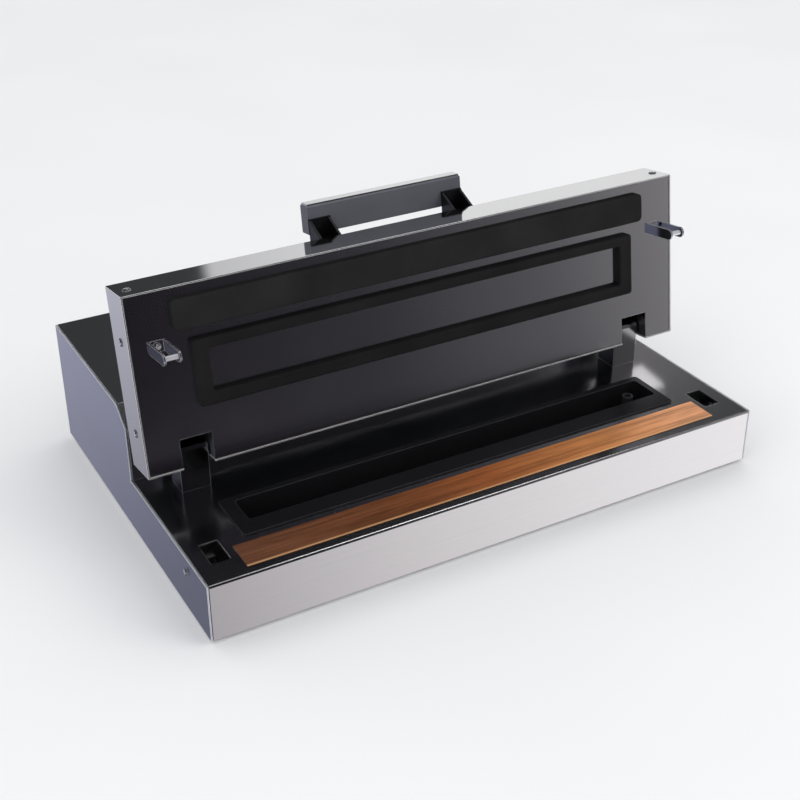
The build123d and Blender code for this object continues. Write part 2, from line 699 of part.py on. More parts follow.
MOTOR_LENGTH = CRANK_LEFT - MOTOR_LEFT
with BuildPart() as pump_motor:
    rod((MOTOR_LEFT, PUMP_Y, PUMP_Z), (1, 0, 0), MOTOR_RADIUS, MOTOR_LENGTH)
    fillet(pump_motor.edges().group_by(Axis.X)[0], 2.0)
    rod(
        (MOTOR_LEFT + MOTOR_WALL, PUMP_Y, PUMP_Z),
        (1, 0, 0),
        MOTOR_RADIUS - MOTOR_WALL,
        MOTOR_LENGTH - 2 * MOTOR_WALL,
        Mode.SUBTRACT,
    )
    rod((MOTOR_LEFT - 4.0, PUMP_Y, PUMP_Z), (1, 0, 0), 8.0, 4.0)
    start = (MOTOR_LEFT - 5.0, PUMP_Y, PUMP_Z)
    rod(start, (1, 0, 0), SHAFT_RADIUS + RUN_FIT, MOTOR_LENGTH + 10, Mode.SUBTRACT)
pump_motor.part.label = "pump_motor"
export_step(pump_motor.part, "parts/pump_motor.step")

with BuildPart() as pump_rotor:
    rod((MOTOR_LEFT - 3.0, PUMP_Y, PUMP_Z), (1, 0, 0), SHAFT_RADIUS, CRANK_LEFT + 32.0 - MOTOR_LEFT + 3.0)
    rod((MOTOR_LEFT + 14.0, PUMP_Y, PUMP_Z), (1, 0, 0), ROTOR_RADIUS, 50.0)
    rod((CRANK_LEFT + 16.0, PUMP_Y, PUMP_Z + 2.0), (1, 0, 0), 8.0, 10.0)
pump_rotor.part.label = "pump_rotor"
export_step(pump_rotor.part, "parts/pump_rotor.step")

CRANK_RIGHT = CRANK_LEFT + CRANK_WIDTH
with BuildPart() as pump_crankcase:
    half = CRANK_SIZE / 2
    block(CRANK_LEFT, CRANK_RIGHT, PUMP_Y - half, PUMP_Y + half, PUMP_Z - half, PUMP_Z + half)
    fillet(pump_crankcase.edges().filter_by(Axis.X), 4.0)
    core = half - CRANK_WALL
    block(
        CRANK_LEFT + CRANK_WALL,
        CRANK_RIGHT - CRANK_WALL,
        PUMP_Y - core,
        PUMP_Y + core,
        PUMP_Z - core,
        PUMP_Z + core,
        Mode.SUBTRACT,
    )
    rod((CRANK_LEFT - 1.0, PUMP_Y, PUMP_Z), (1, 0, 0), SHAFT_RADIUS + 0.3, 8.0, Mode.SUBTRACT)
pump_crankcase.part.label = "pump_crankcase"
export_step(pump_crankcase.part, "parts/pump_crankcase.step")

with BuildPart() as pump_heads:
    for out in (-1, 1):
        near = PUMP_Y + out * half
        body = sorted((near, near + out * HEAD_SIZE))
        block(CRANK_LEFT + 2.0, CRANK_RIGHT - 2.0, *body, PUMP_Z - 22.0, PUMP_Z + 22.0)
        rod(((CRANK_LEFT + CRANK_RIGHT) / 2, near + out * HEAD_SIZE, PUMP_Z), (0, out, 0), 15.0, 3.0)
    head_port = (CRANK_RIGHT - 2.0, PUMP_Y - half - HEAD_SIZE / 2, HEAD_PORT_Z)
    rod(head_port, (1, 0, 0), COLLAR_RADIUS, COLLAR_LENGTH)
    rod(head_port, (1, 0, 0), BARB_RADIUS, COLLAR_LENGTH + BARB_LENGTH)
pump_heads.part.label = "pump_heads"
export_step(pump_heads.part, "parts/pump_heads.step")

with BuildPart() as pump_mounts:
    with Locations(((CRANK_LEFT + CRANK_RIGHT) / 2, PUMP_Y, PAN_Z)):
        with GridLocations(24.0, 44.0, 2, 2):
            Cylinder(6.0, PUMP_Z - half - PAN_Z, align=(Align.CENTER, Align.CENTER, Align.MIN))
pump_mounts.part.label = "pump_mounts"
export_step(pump_mounts.part, "parts/pump_mounts.step")

with BuildPart() as release_valve:
    reach = VALVE_SIZE / 2
    block(VALVE_X - reach, VALVE_X + reach, VALVE_Y - reach, VALVE_Y + reach, PAN_Z, HOSE_Z + 10.0)
    rod((VALVE_X, VALVE_Y, HOSE_Z + 10.0), (0, 0, 1), 9.0, 26.0)
    for start, way in (
        ((VALVE_X, VALVE_Y - reach, HOSE_Z), (0, -1, 0)),
        ((VALVE_X - reach, VALVE_Y, HOSE_Z), (-1, 0, 0)),
    ):
        rod(start, way, COLLAR_RADIUS, COLLAR_LENGTH)
        rod(start, way, BARB_RADIUS, COLLAR_LENGTH + BARB_LENGTH)
release_valve.part.label = "release_valve"
export_step(release_valve.part, "parts/release_valve.step")

# The hose from the trough's port to the valve is straight; the one from the valve to the pump
# head climbs in two equal bends.
PORT_HOSE_START = PORT_Y + 5.0 + COLLAR_LENGTH
PORT_HOSE_END = VALVE_Y - reach - COLLAR_LENGTH
PUMP_HOSE = [
    (VALVE_X - reach - COLLAR_LENGTH, VALVE_Y, HOSE_Z),
    (130.0, VALVE_Y, HOSE_Z),
    (86.0, head_port[1], HEAD_PORT_Z),
    (head_port[0] + COLLAR_LENGTH, head_port[1], HEAD_PORT_Z),
]
PUMP_HOSE_BEND = 40.0
with BuildPart() as vacuum_hose:
    with BuildSketch(Plane.XZ.offset(-PORT_HOSE_START)):
        with Locations((PORT_X, HOSE_Z)):
            Circle(HOSE_RADIUS)
            Circle(HOSE_BORE, mode=Mode.SUBTRACT)
    extrude(amount=PORT_HOSE_START - PORT_HOSE_END)
    with BuildLine() as route:
        FilletPolyline(*PUMP_HOSE, radius=PUMP_HOSE_BEND)
    with BuildSketch(Plane(origin=PUMP_HOSE[0], z_dir=(-1, 0, 0))):
        Circle(HOSE_RADIUS)
        Circle(HOSE_BORE, mode=Mode.SUBTRACT)
    sweep(path=route.wires()[0])
vacuum_hose.part.label = "vacuum_hose"
export_step(vacuum_hose.part, "parts/vacuum_hose.step")
hose_section = math.pi * (HOSE_RADIUS**2 - HOSE_BORE**2)
hose_length = PORT_HOSE_END - PORT_HOSE_START + route.wires()[0].length
print(f"hose: bend radius {PUMP_HOSE_BEND}, volume {vacuum_hose.part.volume:.0f}, "
      f"section times length {hose_section * hose_length:.0f}")

# ================================================================ transformer

CORE_WINDOW = CORE_HEIGHT - 2 * CORE_LEG + 1.0
CORE_MIDDLE_Z = PAN_Z + CORE_HEIGHT / 2
with BuildPart() as transformer_core:
    with BuildSketch(Plane.XZ.offset(-CORE_Y)):
        with Locations((CORE_X, CORE_MIDDLE_Z)):
            Rectangle(CORE_WIDTH, CORE_HEIGHT)
            with GridLocations(3 * CORE_LEG, 0, 2, 1):
                Rectangle(CORE_LEG, CORE_WINDOW, mode=Mode.SUBTRACT)
    extrude(amount=CORE_DEPTH / 2, both=True)
transformer_core.part.label = "transformer_core"
export_step(transformer_core.part, "parts/transformer_core.step")

with BuildPart() as transformer_winding:
    with BuildSketch(Plane.XY.offset(CORE_MIDDLE_Z - CORE_WINDOW / 2)):
        with Locations((CORE_X, CORE_Y)):
            RectangleRounded(4 * CORE_LEG - 0.6, CORE_DEPTH + 18.0, 4.0)
            Rectangle(2 * CORE_LEG + 0.4, CORE_DEPTH + 0.4, mode=Mode.SUBTRACT)
    extrude(amount=CORE_WINDOW - 1.0)
transformer_winding.part.label = "transformer_winding"
export_step(transformer_winding.part, "parts/transformer_winding.step")

# ================================================================ controls

with BuildPart() as control_fascia:
    with BuildSketch(Plane.XY.offset(HOUSING_Z)):
        with Locations((0, FASCIA_Y)):
            RectangleRounded(FASCIA_WIDTH, FASCIA_DEPTH, 5.0)
        with Locations(*[(x, FASCIA_Y) for x in BUTTON_X.values()]):
            Rectangle(BUTTON_WIDTH + 2 * BUTTON_GAP, BUTTON_DEPTH + 2 * BUTTON_GAP, mode=Mode.SUBTRACT)
        with Locations((KNOB_X, FASCIA_Y)):
            Circle(KNOB_SHAFT + BUTTON_GAP, mode=Mode.SUBTRACT)
        with Locations(*[(x, LENS_Y) for x in BUTTON_X.values()]):
            Circle(LENS_RADIUS + SLIP, mode=Mode.SUBTRACT)
    extrude(amount=FASCIA_TOP - HOUSING_Z)
control_fascia.part.label = "control_fascia"
export_step(control_fascia.part, "parts/control_fascia.step")


def make_button(x):
    """A push button: a rounded cap, a captive flange under the cover and a stem to its switch."""
    with BuildPart() as button:
        with BuildSketch(Plane.XY.offset(BUTTON_FLANGE_BOTTOM)):
            with Locations((x, FASCIA_Y)):
                RectangleRounded(BUTTON_WIDTH, BUTTON_DEPTH, 2.5)
        extrude(amount=BUTTON_TOP - BUTTON_FLANGE_BOTTOM)
        fillet(button.edges().group_by(Axis.Z)[-1], 0.8)
        with BuildSketch(Plane.XY.offset(BUTTON_FLANGE_BOTTOM)):
            with Locations((x, FASCIA_Y)):
                Rectangle(BUTTON_WIDTH + 3.0, BUTTON_DEPTH + 3.0)
        extrude(amount=BUTTON_FLANGE_TOP - BUTTON_FLANGE_BOTTOM)
        rod((x, FASCIA_Y, BUTTON_STEM_BOTTOM), (0, 0, 1), 2.0, BUTTON_FLANGE_BOTTOM - BUTTON_STEM_BOTTOM)
    return button


for name, x in BUTTON_X.items():
    push_button = make_button(x)
    push_button.part.label = name
    export_step(push_button.part, f"parts/{name}.step")

KNOB_BOTTOM = FASCIA_TOP + 0.4
KNOB_TOP = KNOB_BOTTOM + KNOB_HEIGHT
with BuildPart() as seal_time_knob:
    with BuildSketch(Plane.XY.offset(KNOB_BOTTOM)):
        with Locations((KNOB_X, FASCIA_Y)):
            Circle(KNOB_RADIUS)
            with PolarLocations(KNOB_RADIUS + 0.6, 18):
                Circle(1.4, mode=Mode.SUBTRACT)
    extrude(amount=KNOB_HEIGHT)
    rod((KNOB_X, FASCIA_Y, KNOB_BOTTOM), (0, 0, 1), KNOB_RADIUS, 2.0)
    with Locations((KNOB_X, FASCIA_Y + 9.0, KNOB_TOP)):
        Box(1.4, 9.0, 1.2, mode=Mode.SUBTRACT)
    rod((KNOB_X, FASCIA_Y, BOARD_TOP + 10.9), (0, 0, 1), KNOB_SHAFT, KNOB_BOTTOM - BOARD_TOP - 10.9)
seal_time_knob.part.label = "seal_time_knob"
export_step(seal_time_knob.part, "parts/seal_time_knob.step")

with BuildPart() as indicator_lenses:
    for x in BUTTON_X.values():
        rod((x, LENS_Y, CEILING_Z), (0, 0, 1), LENS_RADIUS, FASCIA_TOP + 0.8 - CEILING_Z)
    fillet(indicator_lenses.edges().group_by(Axis.Z)[-1], 0.7)
    for x in BUTTON_X.values():
        rod((x, LENS_Y, CEILING_Z - 1.0), (0, 0, 1), LENS_RADIUS + 1.1, 1.0)
indicator_lenses.part.label = "indicator_lenses"
export_step(indicator_lenses.part, "parts/indicator_lenses.step")

with BuildPart() as control_board:
    block(
        -BOARD_WIDTH / 2,
        BOARD_WIDTH / 2,
        BOARD_Y - BOARD_DEPTH / 2,
        BOARD_Y + BOARD_DEPTH / 2,
        BOARD_Z,
        BOARD_TOP,
    )
    for x in BUTTON_X.values():
        block(x - 3.0, x + 3.0, FASCIA_Y - 3.0, FASCIA_Y + 3.0, BOARD_TOP, BOARD_TOP + 1.5)
    block(KNOB_X - 7.0, KNOB_X + 7.0, FASCIA_Y - 7.0, FASCIA_Y + 7.0, BOARD_TOP, BOARD_TOP + 10.4)
    for x in (-46.0, -20.0):
        block(x - 9.5, x + 9.5, 36.5, 51.5, BOARD_TOP, BOARD_TOP + 13.0)
    for x in (20.0, 33.0):
        rod((x, 43.0, BOARD_TOP), (0, 0, 1), 5.0, 14.0)
control_board.part.label = "control_board"
export_step(control_board.part, "parts/control_board.step")

with BuildPart() as board_standoffs:
    with Locations((0, BOARD_Y, BOARD_TOP)):
        with GridLocations(BOARD_WIDTH - 10.0, BOARD_DEPTH - 10.0, 2, 2):
            Cylinder(3.0, CEILING_Z - BOARD_TOP, align=(Align.CENTER, Align.CENTER, Align.MIN))
board_standoffs.part.label = "board_standoffs"
export_step(board_standoffs.part, "parts/board_standoffs.step")

# ================================================================ back panel parts

with BuildPart() as power_inlet:
    with BuildSketch(Plane.XZ.offset(-PANEL_Y)):
        with Locations((INLET_X, BACK_PARTS_Z)):
            Rectangle(*INLET_BODY)
    extrude(amount=25.0)
    with BuildSketch(Plane.XZ.offset(-PANEL_Y)):
        with Locations((INLET_X, BACK_PARTS_Z)):
            RectangleRounded(48.0, 25.0, 6.0)
            with GridLocations(40.0, 0, 2, 1):
                Circle(1.7, mode=Mode.SUBTRACT)
    extrude(amount=-2.5)
    with BuildSketch(Plane.XZ.offset(-PANEL_Y - 2.5)):
        with Locations((INLET_X, BACK_PARTS_Z)):
            Rectangle(*INLET_CAVITY)
    extrude(amount=18.0, mode=Mode.SUBTRACT)
power_inlet.part.label = "power_inlet"
export_step(power_inlet.part, "parts/power_inlet.step")

with BuildPart() as inlet_pins:
    pin_root = PANEL_Y + 2.5 - 18.0
    for x, z in ((-7.0, -1.5), (0.0, 2.5), (7.0, -1.5)):
        block(
            INLET_X + x - 1.0,
            INLET_X + x + 1.0,
            pin_root,
            pin_root + 13.0,
            BACK_PARTS_Z + z - 2.0,
            BACK_PARTS_Z + z + 2.0,
        )
inlet_pins.part.label = "inlet_pins"
export_step(inlet_pins.part, "parts/inlet_pins.step")

ROCKER_Y = PANEL_Y - 4.0
with BuildPart() as switch_housing:
    with BuildSketch(Plane.XZ.offset(-PANEL_Y)):
        with Locations((ROCKER_X, BACK_PARTS_Z)):
            Rectangle(*SWITCH_BODY)
    extrude(amount=20.0)
    with BuildSketch(Plane.XZ.offset(-PANEL_Y)):
        with Locations((ROCKER_X, BACK_PARTS_Z)):
            RectangleRounded(SWITCH_BODY[0] + 4.0, SWITCH_BODY[1] + 4.0, 1.5)
    extrude(amount=-2.0)
    with BuildSketch(Plane.XZ.offset(-PANEL_Y - 2.0)):
        with Locations((ROCKER_X, BACK_PARTS_Z)):
            Rectangle(*SWITCH_CAVITY)
    extrude(amount=15.0, mode=Mode.SUBTRACT)
    rod((ROCKER_X - 8.8, ROCKER_Y, BACK_PARTS_Z), (1, 0, 0), 1.5 + RUN_FIT, 17.6, Mode.SUBTRACT)
switch_housing.part.label = "switch_housing"
export_step(switch_housing.part, "parts/switch_housing.step")

with BuildPart() as rocker_level:
    with BuildSketch(Plane.YZ.offset(ROCKER_X)):
        with BuildLine():
            Polyline(
                (ROCKER_Y + 6.5, BACK_PARTS_Z + 10.4),
                (ROCKER_Y + 4.6, BACK_PARTS_Z),
                (ROCKER_Y + 6.5, BACK_PARTS_Z - 10.4),
                (ROCKER_Y - 2.0, BACK_PARTS_Z - 9.6),
                (ROCKER_Y - 4.5, BACK_PARTS_Z),
                (ROCKER_Y - 2.0, BACK_PARTS_Z + 9.6),
                close=True,
            )
        make_face()
    extrude(amount=SWITCH_CAVITY[0] / 2 - 0.3, both=True)
    rod((ROCKER_X - 8.6, ROCKER_Y, BACK_PARTS_Z), (1, 0, 0), 1.5, 17.2)
rocker_axis = Axis((ROCKER_X, ROCKER_Y, BACK_PARTS_Z), (1, 0, 0))
power_rocker = rocker_level.part.rotate(rocker_axis, -ROCKER_TILT)
power_rocker.label = "power_rocker"
export_step(power_rocker, "parts/power_rocker.step")

FAN = Plane(origin=(FAN_X, PANEL_Y - SHEET - FAN_DEPTH, FAN_Z), x_dir=(1, 0, 0), z_dir=(0, 1, 0))
FAN_HUB = 13.0
FAN_BLADES = 7
with BuildPart() as fan_frame:
    with BuildSketch(FAN):
        RectangleRounded(FAN_SIZE, FAN_SIZE, 4.0)
        Circle(FAN_HOLE, mode=Mode.SUBTRACT)
    extrude(amount=FAN_DEPTH)
    with BuildSketch(FAN):
        Circle(FAN_HUB - 1.0)
        with PolarLocations(20.0, 3):
            Rectangle(20.0, 3.0)
        Circle(1.5 + RUN_FIT, mode=Mode.SUBTRACT)
    extrude(amount=2.5)
fan_frame.part.label = "fan_frame"
export_step(fan_frame.part, "parts/fan_frame.step")

with BuildPart() as fan_rotor:
    with BuildSketch(FAN.offset(3.0)):
        Circle(FAN_HUB)
    extrude(amount=10.5)
    fillet(fan_rotor.edges().group_by(Axis.Y)[-1], 1.5)
    with Locations(FAN.offset(8.2)):
        with PolarLocations(FAN_HUB + 7.0, FAN_BLADES):
            Box(15.0, 1.2, 11.0, rotation=(35, 0, 0))
    with BuildSketch(FAN.offset(0.3)):
        Circle(1.5)
    extrude(amount=3.0)
fan_rotor.part.label = "fan_rotor"
export_step(fan_rotor.part, "parts/fan_rotor.step")

with BuildPart() as fan_guard:
    with BuildSketch(Plane.XZ.offset(-PANEL_Y)):
        with Locations((FAN_X, FAN_Z)):
            for radius in (29.0, 22.0, 15.0):
                Circle(radius)
                Circle(radius - 1.6, mode=Mode.SUBTRACT)
            Circle(6.0)
            Rectangle(70.0, 2.4, rotation=45)
            Rectangle(70.0, 2.4, rotation=-45)
            with GridLocations(50.0, 50.0, 2, 2):
                Circle(3.6)
                Circle(1.9, mode=Mode.SUBTRACT)
    extrude(amount=-2.0)
fan_guard.part.label = "fan_guard"
export_step(fan_guard.part, "parts/fan_guard.step")

# ================================================================ lid

with BuildPart() as lid_shell:
    with BuildSketch(LID.offset(-LID_THICK)):
        with Locations((0, LID_HEIGHT / 2)):
            Rectangle(WIDTH, LID_HEIGHT)
    extrude(amount=LID_THICK)
    skin = lid_shell.faces().sort_by(Axis(LID_ORIGIN, LID.z_dir))[0]
    fillet(skin.edges(), 1.6)
    with BuildSketch(LID.offset(-SKIN_DEPTH)):
        with Locations((0, LID_HEIGHT / 2)):
            Rectangle(WIDTH - 2 * SHEET, LID_HEIGHT - 2 * SHEET)
    extrude(amount=SKIN_DEPTH, mode=Mode.SUBTRACT)
    with BuildSketch(LID.offset(-SKIN_DEPTH)):
        with Locations((-HINGE_X, 0), (HINGE_X, 0)):
            Rectangle(NOTCH_WIDTH, 4 * SHEET)
    extrude(amount=SKIN_DEPTH, mode=Mode.SUBTRACT)
    for side in (-1, 1):
        for depth, height in LID_SIDE_SCREWS:
            start = on_lid(side * (SIDE_X - 3), height, depth)
            rod(start, (side, 0, 0), SHANK_RADIUS + SLIP, 6, Mode.SUBTRACT)
        edge = on_lid(side * LID_EDGE_SCREW_X, LID_HEIGHT - 3, LID_EDGE_SCREW_D)
        rod(edge, LID.y_dir, SHANK_RADIUS + SLIP, 6, Mode.SUBTRACT)
lid_shell.part.label = "lid_shell"
export_step(lid_shell.part, "parts/lid_shell.step")

PANEL_X = SIDE_X - SHEET - INNER_GAP
PANEL_LOW = SHEET + INNER_GAP
PANEL_HIGH = LID_HEIGHT - SHEET - INNER_GAP
with BuildPart() as lid_inner_panel:
    with BuildSketch(LID.offset(-INNER_FACE)):
        with Locations((0, (PANEL_LOW + PANEL_HIGH) / 2)):
            Rectangle(2 * PANEL_X, PANEL_HIGH - PANEL_LOW)
        with Locations((-HINGE_X, NOTCH_HEIGHT / 2), (HINGE_X, NOTCH_HEIGHT / 2)):
            Rectangle(NOTCH_WIDTH, NOTCH_HEIGHT, mode=Mode.SUBTRACT)
    extrude(amount=SHEET)
    with BuildSketch(LID.offset(-FLANGE_DEPTH)):
        with Locations((0, PANEL_HIGH - SHEET / 2)):
            Rectangle(2 * PANEL_X - 8.0, SHEET)
        for side in (-1, 1):
            with Locations((side * (PANEL_X - SHEET / 2), (26.0 + 140.0) / 2)):
                Rectangle(SHEET, 140.0 - 26.0)
    extrude(amount=FLANGE_DEPTH - INNER_FACE)
    for side in (-1, 1):
        for depth, height in LID_SIDE_SCREWS:
            start = on_lid(side * (PANEL_X - 3), height, depth)
            rod(start, (side, 0, 0), SHANK_RADIUS + SLIP, 6, Mode.SUBTRACT)
        edge = on_lid(side * LID_EDGE_SCREW_X, PANEL_HIGH - 3, LID_EDGE_SCREW_D)
        rod(edge, LID.y_dir, SHANK_RADIUS + SLIP, 6, Mode.SUBTRACT)
    for centre in (-LATCH_X, LATCH_X):
        rod(on_lid(centre, STIRRUP_PIN_H, 0), LID.z_dir * -1, SHANK_RADIUS + SLIP, 6, Mode.SUBTRACT)
lid_inner_panel.part.label = "lid_inner_panel"
export_step(lid_inner_panel.part, "parts/lid_inner_panel.step")

with BuildPart() as lid_screws:
    for side in (-1, 1):
        for depth, height in LID_SIDE_SCREWS:
            with Locations(Plane(origin=on_lid(side * SIDE_X, height, depth), z_dir=(side, 0, 0))):
                add(small_screw)
        edge = on_lid(side * LID_EDGE_SCREW_X, LID_HEIGHT, LID_EDGE_SCREW_D)
        with Locations(Plane(origin=edge, x_dir=(1, 0, 0), z_dir=LID.y_dir)):
            add(small_screw)
    for centre in (-LATCH_X, LATCH_X):
        seat = on_lid(centre, STIRRUP_PIN_H, STIRRUP_SEAT)
        with Locations(Plane(origin=seat, x_dir=(1, 0, 0), z_dir=LID.z_dir)):
            add(small_screw)
lid_screws.part.label = "lid_screws"
export_step(lid_screws.part, "parts/lid_screws.step")

with BuildPart() as hinge_ears:
    for centre in (-HINGE_X, HINGE_X):
        for out in (-1, 1):
            near = centre + out * EAR_NEAR
            with BuildSketch(LID_SIDE.offset(near)):
                with BuildLine():
                    Polyline(
                        (INNER_FACE, SHEET),
                        (SKIN_DEPTH, SHEET),
                        (SKIN_DEPTH, EAR_HEIGHT),
                        (INNER_FACE + 6.0, EAR_HEIGHT),
                        (INNER_FACE, EAR_HEIGHT - 6.0),
                        close=True,
                    )
                make_face()
                with Locations((AXIS_D, AXIS_H)):
                    Circle(PIN_RADIUS + RUN_FIT, mode=Mode.SUBTRACT)
            extrude(amount=out * EAR_THICK)
hinge_ears.part.label = "hinge_ears"
export_step(hinge_ears.part, "parts/hinge_ears.step")

with BuildPart() as latch_stirrups:
    with BuildSketch(LID_SIDE):
        with BuildLine():
            Polyline(
                (INNER_DEPTH, STIRRUP_PIN_H - STIRRUP_TIP),
                (-STIRRUP_REACH, STIRRUP_PIN_H - STIRRUP_TIP),
            )
            ThreePointArc(
                (-STIRRUP_REACH, STIRRUP_PIN_H - STIRRUP_TIP),
                (-STIRRUP_REACH - STIRRUP_TIP, STIRRUP_PIN_H),
                (-STIRRUP_REACH, STIRRUP_PIN_H + STIRRUP_TIP),
            )
            Polyline(
                (-STIRRUP_REACH, STIRRUP_PIN_H + STIRRUP_TIP),
                (INNER_DEPTH, STIRRUP_PIN_H + STIRRUP_TIP),
                (INNER_DEPTH, STIRRUP_PIN_H - STIRRUP_TIP),
            )
        make_face()
    extrude(amount=LATCH_X + STIRRUP_WIDTH / 2, both=True)
    inside = STIRRUP_WIDTH / 2 - STIRRUP_CHEEK
    with BuildSketch(LID.offset(-INNER_DEPTH + STIRRUP_CHEEK)):
        with Locations((-LATCH_X, STIRRUP_PIN_H), (LATCH_X, STIRRUP_PIN_H)):
            Rectangle(2 * inside, 3 * STIRRUP_TIP)
    extrude(amount=STIRRUP_REACH + 2 * STIRRUP_TIP, mode=Mode.SUBTRACT)
    with BuildSketch(LID.offset(-2 * INNER_DEPTH)):
        with Locations((0, STIRRUP_PIN_H)):
            Rectangle(2 * LATCH_X - STIRRUP_WIDTH, 3 * STIRRUP_TIP)
    extrude(amount=STIRRUP_REACH + 3 * STIRRUP_TIP, mode=Mode.SUBTRACT)
    for centre in (-LATCH_X, LATCH_X):
        start = on_lid(centre, STIRRUP_PIN_H, 2 * STIRRUP_SEAT)
        rod(start, LID.z_dir * -1, SHANK_RADIUS + SLIP, 6, Mode.SUBTRACT)
latch_stirrups.part.label = "latch_stirrups"
export_step(latch_stirrups.part, "parts/latch_stirrups.step")

with BuildPart() as lid_pins:
    for centre in (-LATCH_X, LATCH_X):
        rod(
            on_lid(centre - inside, STIRRUP_PIN_H, -STIRRUP_REACH),
            (1, 0, 0),
            LATCH_PIN_RADIUS,
            2 * inside,
        )
    ear_far = EAR_NEAR + EAR_THICK
    for centre in (-HINGE_X, HINGE_X):
        rod((centre - ear_far, AXIS_Y, AXIS_Z), (1, 0, 0), PIN_RADIUS, 2 * ear_far)
        for out in (-1, 1):
            rod((centre + out * ear_far, AXIS_Y, AXIS_Z), (out, 0, 0), PIN_HEAD, PIN_HEAD_THICK)
lid_pins.part.label = "lid_pins"
export_step(lid_pins.part, "parts/lid_pins.step")

with BuildPart() as pressure_beam:
    with BuildSketch(LID_SIDE.offset(-BEAM_HALF)):
        with BuildLine():
            Polyline(
                (INNER_FACE + BEAM_DEPTH, BEAM_LOW),
                (INNER_FACE, BEAM_LOW),
                (INNER_FACE, BEAM_HIGH),
                (INNER_FACE + BEAM_DEPTH, BEAM_HIGH),
                (INNER_FACE + BEAM_DEPTH, BEAM_HIGH - BEAM_SHEET),
                (INNER_FACE + BEAM_SHEET, BEAM_HIGH - BEAM_SHEET),
                (INNER_FACE + BEAM_SHEET, BEAM_LOW + BEAM_SHEET),
                (INNER_FACE + BEAM_DEPTH, BEAM_LOW + BEAM_SHEET),
                close=True,
            )
        make_face()
    extrude(amount=2 * BEAM_HALF)
pressure_beam.part.label = "pressure_beam"
export_step(pressure_beam.part, "parts/pressure_beam.step")

with BuildPart() as pressure_foam:
    with BuildSketch(LID.offset(-INNER_DEPTH)):
        with Locations((0, (FOAM_LOW + FOAM_HIGH) / 2)):
            Rectangle(2 * FOAM_HALF, FOAM_HIGH - FOAM_LOW)
    extrude(amount=INNER_DEPTH + SOFT_RAISE)
pressure_foam.part.label = "pressure_foam"
export_step(pressure_foam.part, "parts/pressure_foam.step")

with BuildPart() as vacuum_gasket:
    with BuildSketch(LID.offset(-INNER_DEPTH)):
        with Locations((0, (GASKET_LOW + GASKET_HIGH) / 2)):
            RectangleRounded(2 * GASKET_HALF, GASKET_HIGH - GASKET_LOW, GASKET_CORNER)
        with Locations((0, (GASKET_HOLE_LOW + GASKET_HOLE_HIGH) / 2)):
            RectangleRounded(
                2 * GASKET_HOLE_HALF,
                GASKET_HOLE_HIGH - GASKET_HOLE_LOW,
                GASKET_CORNER / 2,
                mode=Mode.SUBTRACT,
            )
    extrude(amount=INNER_DEPTH + SOFT_RAISE)
vacuum_gasket.part.label = "vacuum_gasket"
export_step(vacuum_gasket.part, "parts/vacuum_gasket.step")

# ================================================================ handle

with BuildPart() as handle_bar:
    with BuildSketch(LID.offset(-HANDLE_FAR)):
        with Locations((0, (HANDLE_LOW + HANDLE_HIGH) / 2)):
            Rectangle(2 * HANDLE_HALF, HANDLE_HIGH - HANDLE_LOW)
    extrude(amount=HANDLE_FAR - HANDLE_NEAR)
    top = handle_bar.faces().sort_by(Axis(LID_ORIGIN, LID.y_dir))[-1]
    chamfer(top.edges(), HANDLE_BEVEL)
handle_bar.part.label = "handle_bar"
export_step(handle_bar.part, "parts/handle_bar.step")

with BuildPart() as handle_trim:
    with BuildSketch(LID.offset(-HANDLE_FAR + HANDLE_BEVEL)):
        with Locations((0, HANDLE_HIGH + HANDLE_TRIM / 2)):
            Rectangle(2 * (HANDLE_HALF - HANDLE_BEVEL), HANDLE_TRIM)
    extrude(amount=HANDLE_FAR - HANDLE_NEAR - 2 * HANDLE_BEVEL)
handle_trim.part.label = "handle_trim"
export_step(handle_trim.part, "parts/handle_trim.step")

with BuildPart() as handle_feet:
    for side in (-1, 1):
        near = side * HANDLE_FOOT_X
        far = side * (HANDLE_FOOT_X + HANDLE_FOOT_WIDTH)
        for start, way in ((near, side), (far, -side)):
            with BuildSketch(LID_SIDE.offset(start)):
                with BuildLine():
                    Polyline(
                        (LID_THICK, HANDLE_FOOT_LOW),
                        (LID_THICK, HANDLE_FOOT_HIGH),
                        (HANDLE_NEAR, HANDLE_FOOT_END_HIGH),
                        (HANDLE_NEAR, HANDLE_FOOT_END_LOW),
                        close=True,
                    )
                make_face()
            extrude(amount=way * HANDLE_FOOT_PLATE)
        webs = (
            (LID_THICK + HANDLE_FOOT_PLATE, HANDLE_FOOT_LOW, HANDLE_FOOT_HIGH),
            (HANDLE_NEAR, HANDLE_FOOT_END_LOW, HANDLE_FOOT_END_HIGH),
        )
        for depth, low, high in webs:
            with BuildSketch(LID.offset(-depth)):
                with Locations(((near + far) / 2, (low + high) / 2)):
                    Rectangle(HANDLE_FOOT_WIDTH, high - low)
            extrude(amount=HANDLE_FOOT_PLATE)
handle_feet.part.label = "handle_feet"
export_step(handle_feet.part, "parts/handle_feet.step")
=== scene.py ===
import math

import bmesh
import bpy
from mathutils import Matrix, Vector, noise


